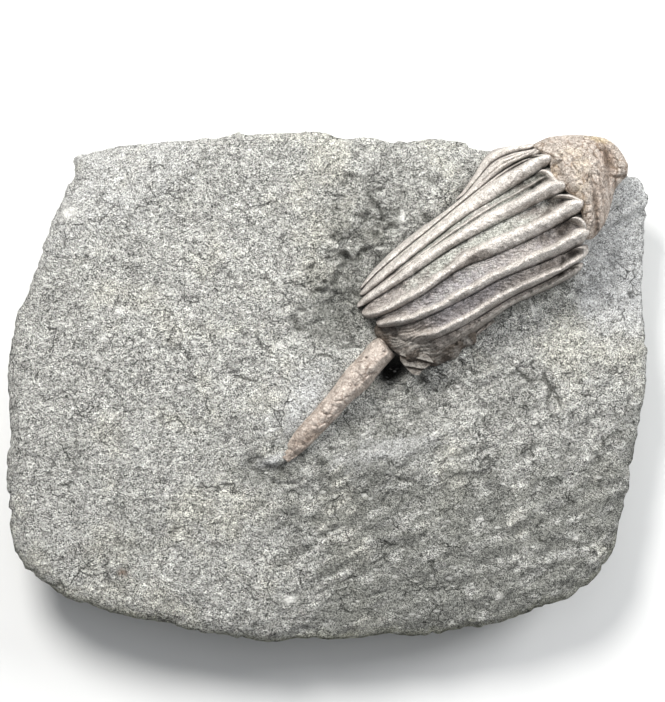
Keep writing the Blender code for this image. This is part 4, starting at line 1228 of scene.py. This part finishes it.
# %% [markdown]
# ## The anal tube
# A slim cone of irregular plates leaves the crown under the arm tips. It is a
# half-round profile carried along a path, thinner and lower as it goes, until it
# runs into the stone.

# %% The tube
# Along the tube's middle line: x, y, half width and height of its top.
TUBE = np.array([
    (-8.9, -14.7, 0.95, 0.2), (-6.6, -11.8, 1.75, 1.6), (-4.4, -9.3, 2.15, 2.3),
    (-1.9, -6.6, 2.35, 2.9), (0.1, -4.5, 2.3, 3.2), (2.0, -2.3, 2.45, 3.6),
    (3.6, -0.5, 2.6, 3.8), (5.5, 1.6, 2.85, 4.1), (7.8, 4.2, 2.9, 4.3),
    (10.3, 6.9, 2.8, 4.3), (12.1, 8.3, 2.3, 3.8),
])


TUBE_PLATE = 2.6
UNDERCUT = 0.36  # the angle past the half turn, in radians
NICK = (7.6, 6.0)


def tube_rings(rows=230, columns=76):
    """Centre + normal * half width * cos a; height = middle + rise * sin a, for a
    little over half a turn, so that the rod is undercut where it meets the stone."""
    steps = np.arange(len(TUBE))
    at = np.linspace(0, len(TUBE) - 1, rows)
    x0, y0, half, top = (through(np.column_stack([steps, c]), at)[:, None] for c in TUBE.T)
    half = half * (1 + 0.09 * noise(at[:, None], 3.0, 0.8, 149))
    dx, dy = np.gradient(x0[:, 0]), np.gradient(y0[:, 0])
    length = np.hypot(dx, dy)
    nx, ny = (-dy / length)[:, None], (dx / length)[:, None]
    a = np.linspace(-UNDERCUT, np.pi + UNDERCUT, columns)[None]
    x, y = x0 + nx * half * np.cos(a), y0 + ny * half * np.cos(a)
    floor = seat(x, y)
    low = floor.min(axis=1, keepdims=True)
    middle = low + 0.30 * (top - low)
    z = np.maximum(middle + (top + 0.2 - middle) * np.sin(a), floor - 0.25)
    close = np.sqrt(clamp01((len(TUBE) - 1 - at) / 0.5 + 0.02))[:, None]
    z = floor + (z - floor) * step(0.0, 0.5, at)[:, None] * close
    bend = 0.5 * noise(x, y, 2.2, 158)
    near, far, tint = cells(np.stack([x + bend, y - bend, z * 1.2], -1), TUBE_PLATE, 23)
    seam = far - near
    body = clamp01(np.sin(a)) ** 0.5
    worn = 0.3 + 0.7 * step(-0.4, 0.6, noise(x, y, 2.8, 151))
    z = z + (0.38 * step(0.0, 0.45, seam) * worn - 0.22 + 0.20 * tint) * body
    z = z + (0.24 * rough(x, y, 2.4, 150) + 0.08 * rough(x, y, 0.8, 155)) * body
    nick = bell(np.hypot(x - NICK[0], y - NICK[1]), 0.0, 0.24)
    z = z - 0.5 * nick
    below = (x0 + (x - x0) * 0.9, y0 + (y - y0) * 0.9, np.minimum(floor - 0.4, z - 0.2))
    wear = 0.85 * clamp01(1.2 - at / 4.0)[:, None] + 0.35 * step(0.0, 0.8, noise(x, y, 3.2, 157))
    # Painted shade in the nick and along the sides, where the rod meets the stone.
    masks = {"suture": clamp01(1 - seam / 0.13) * worn, "iron": clamp01(0.8 * wear),
             "hollow": clamp01(nick * 1.5 + 1.1 * (1 - body) ** 3)}
    return as_tube((x, y, z), below, masks, 14)


rings, masks = tube_rings()
skin("tube_of_plates", rings, tube_stone, masks, "anal_tube")

# %% [markdown]
# ## Broken arm plates under the tips
# Below the arm tips the lowest arm has splintered. What is left is a stack of
# thin plates with straight broken edges over a dark cavity. The outline is kept
# angular, so its corners are joined by straight lines, and the top goes down in
# steps like a torn stack of paper.

# %% The splintered plates
SHARDS = np.array([
    (14.3, 7.1), (15.7, 8.0), (18.2, 7.4), (20.2, 6.2), (21.2, 4.9), (19.4, 3.7),
    (18.3, 2.3), (16.9, 2.5), (15.5, 4.0), (14.5, 5.3),
])


BREAKS = (0.80, 1.75)  # where, climbing, the next plate of the stack begins
print("size of the splintered plate, in mm:", np.ptp(SHARDS, axis=0).round(1))


def shard_rings(columns=160, rows=70):
    """Outline scaled by s; the top climbs with t = 0.5(y - 2.3) + 0.1(x - 17) and
    jumps up by a plate's thickness where t passes each break."""
    middle = SHARDS.mean(axis=0)
    s = np.linspace(0.02, 1, rows)[:, None]
    x, y = towards(even_points(SHARDS, columns), middle, s)
    t = 0.5 * (y - 2.3) + 0.1 * (x - 17) + 0.06 * noise(x, y, 1.7, 161)
    t = t + 0.16 * np.abs(((x + 0.4 * y) / 4.6) % 1 - 0.5)
    first, second = step(BREAKS[0], 0.92, t), step(BREAKS[1], 1.86, t)
    q, w = to_crown(x, y)
    fibre = np.sin(2 * np.pi * (w + 0.3 * noise(q, w, 1.6, 162)) / 0.62)
    z = 0.75 + 0.22 * t + 0.75 * first + 1.0 * second + 0.02 * fibre
    z = z + 0.10 * rough(x, y, 1.1, 163) - 0.3 * (s > 0.985)
    floor = seat(x, y)
    z = np.maximum(z, floor + 0.25)
    below = (x * 0.94 + middle[0] * 0.06, y * 0.94 + middle[1] * 0.06,
             np.minimum(floor - 0.3, z - 0.2))
    # Painted highlight on the edge of each plate and along the outer rim, and painted shade on the
    # plate just below each step.
    lit_lip = step(0.93, 1.02, t) * step(1.3, 1.0, t) + step(1.87, 1.95, t) * step(2.3, 1.95, t)
    rim = step(0.90, 0.97, s) * step(1.2, 0.6, t)
    dark = clamp01(0.40 + 0.10 * clamp01(-fibre) - 0.9 * clamp01(lit_lip + rim)
                   + 0.7 * step(0.62, BREAKS[0], t) * (1 - first)
                   + 0.7 * step(1.5, BREAKS[1], t) * (1 - second))
    return as_lid((x, y, z), below, dark, 12)


# %% [markdown]
# The branchlets of the lowest arms hang together under the tips as one rough mass.
# Nobody can tell them apart, so it is a single closed lid, furrowed along the lines
# that the branchlets take on the arms.

# %% The mass of branchlets
MASS = np.array([(-0.9, -6.2), (-0.4, -9.0), (0.8, -12.3), (1.6, -15.0), (3.6, -16.6),
                 (6.0, -18.6), (8.2, -18.9), (10.5, -19.6), (12.5, -18.6), (15.5, -19.0),
                 (16.0, -16.0), (10.0, -13.0), (10.0, -7.0), (6.0, -5.0), (1.0, -4.6)])
MASS_ALONG = [(-2, 1.4), (1, 3.0), (4, 4.6), (8, 6.4), (12, 7.4)]  # q, height
MASS_ACROSS = [(-20, -2.2), (-18, -0.8), (-15, 2.2), (-12, 4.4), (-9, 5.6), (-4, 7.0)]


def mass_rings(columns=240, rows=80):
    """Outline scaled by s; the top is the lower of a curve along q and one across w,
    falls at the outline by 1.8 s^8, and is furrowed along the branchlets' lines."""
    edge = smooth_outline(MASS, columns)
    s = np.linspace(0.02, 1, rows)[:, None]
    q, w = towards(edge, edge.mean(axis=0), s)
    x, y = from_crown(q, w)
    fibre = np.sin(2 * np.pi * (fan_out(q, w) + 1.1 * noise(q, w, 2.4, 171)) / 0.9)
    z = np.minimum(through(MASS_ALONG, q), through(MASS_ACROSS, w) + 0.6)
    z = z + 0.09 * fibre + 0.42 * rough(x, y, 1.9, 172) - 1.8 * s**8
    z = z - 0.8 * np.maximum(noise(x, y, 1.5, 174) - 0.2, 0.0)
    floor = seat(x, y)
    z = np.maximum(z, floor + 0.05)
    # Darker along the branchlets' furrows and towards the edge where the mass meets the stone:
    # painted shade; the noise adds dark tone of its own.
    dark = clamp01(0.35 + 0.3 * clamp01(-fibre) + 0.6 * noise(q, w, 1.4, 173) + 0.4 * s**10)
    return as_lid((x, y, z), (x, y, np.minimum(floor - 0.4, z - 0.2)), dark, 10)


rings, masks = mass_rings()
skin("branchlet_mass", rings, fibre_stone, masks, None)
rings, masks = shard_rings()
skin("splintered_plate", rings, fibre_stone, masks, "loose_plate")

# %% [markdown]
# ## Light, floor and camera
# Relief shows by raking light. One soft lamp at the upper left draws every rib,
# a weaker one at the right lights the slab beyond the cup, and a broad one overhead
# keeps the shadows open. The camera looks straight down on the face.

# %% Floor
paper = bpy.data.materials.new("floor_paper")
paper.use_nodes = True
shader = paper.node_tree.nodes["Principled BSDF"]
shader.inputs["Base Color"].default_value = (0.78, 0.78, 0.77, 1)
shader.inputs["Roughness"].default_value = 0.9
mesh = bpy.data.meshes.new("floor")
mesh.from_pydata([(-2, -2, 0), (2, -2, 0), (2, 2, 0), (-2, 2, 0)], [], [(0, 1, 2, 3)])
mesh.materials.append(paper)
floor = add("floor", mesh)
print("floor:", [round(side) for side in floor.dimensions[:2]], "metres")

# %% Lamps
def lamp(name, place, target, size, watts, colour):
    """A round area lamp; its -Z axis is turned to the target."""
    data = bpy.data.lights.new(name, "AREA")
    data.shape, data.size, data.energy, data.color = "DISK", size, watts, colour
    made = add(name, data)
    made.location = place
    made.rotation_euler = (Vector(target) - Vector(place)).to_track_quat("-Z", "Y").to_euler()
    print("lamp", name, watts, "W")


lamp("key_upper_left", (-0.12, 0.24, 0.35), (0, 0, 0.02), 0.16, 2.3, (1.0, 0.99, 0.97))
lamp("second_right", (0.34, 0.19, 0.30), (0.03, 0, 0.02), 0.20, 1.65, (0.98, 0.99, 1.0))
lamp("fill_overhead", (0.10, 0.20, 1.0), (0, 0, 0), 0.9, 2.8, (0.96, 0.98, 1.0))
world = bpy.data.worlds.new("studio")
world.use_nodes = True
world.node_tree.nodes["Background"].inputs["Color"].default_value = (0.9, 0.93, 1.0, 1)
world.node_tree.nodes["Background"].inputs["Strength"].default_value = 0.18
bpy.context.scene.world = world
bpy.context.scene.view_settings.view_transform = "Standard"

# %% Camera
DISTANCE = 460.0  # above the plateau, in millimetres
SENSOR = 36.0
SLAB_WIDTH = 130.0  # which takes up 641 of a render's 665 columns
RENDER_ROWS, SLAB_COLUMNS = 702, 641
FRAME_HEIGHT = SLAB_WIDTH * RENDER_ROWS / SLAB_COLUMNS
data = bpy.data.cameras.new("camera")
data.sensor_width = SENSOR
data.lens = SENSOR * DISTANCE / FRAME_HEIGHT
data.clip_start = 0.01
camera = add("camera", data)
camera.location = (0.77 * MM, 7.28 * MM, (PLATEAU + DISTANCE) * MM)
bpy.context.scene.camera = camera
print("lens", round(data.lens, 1), "mm")
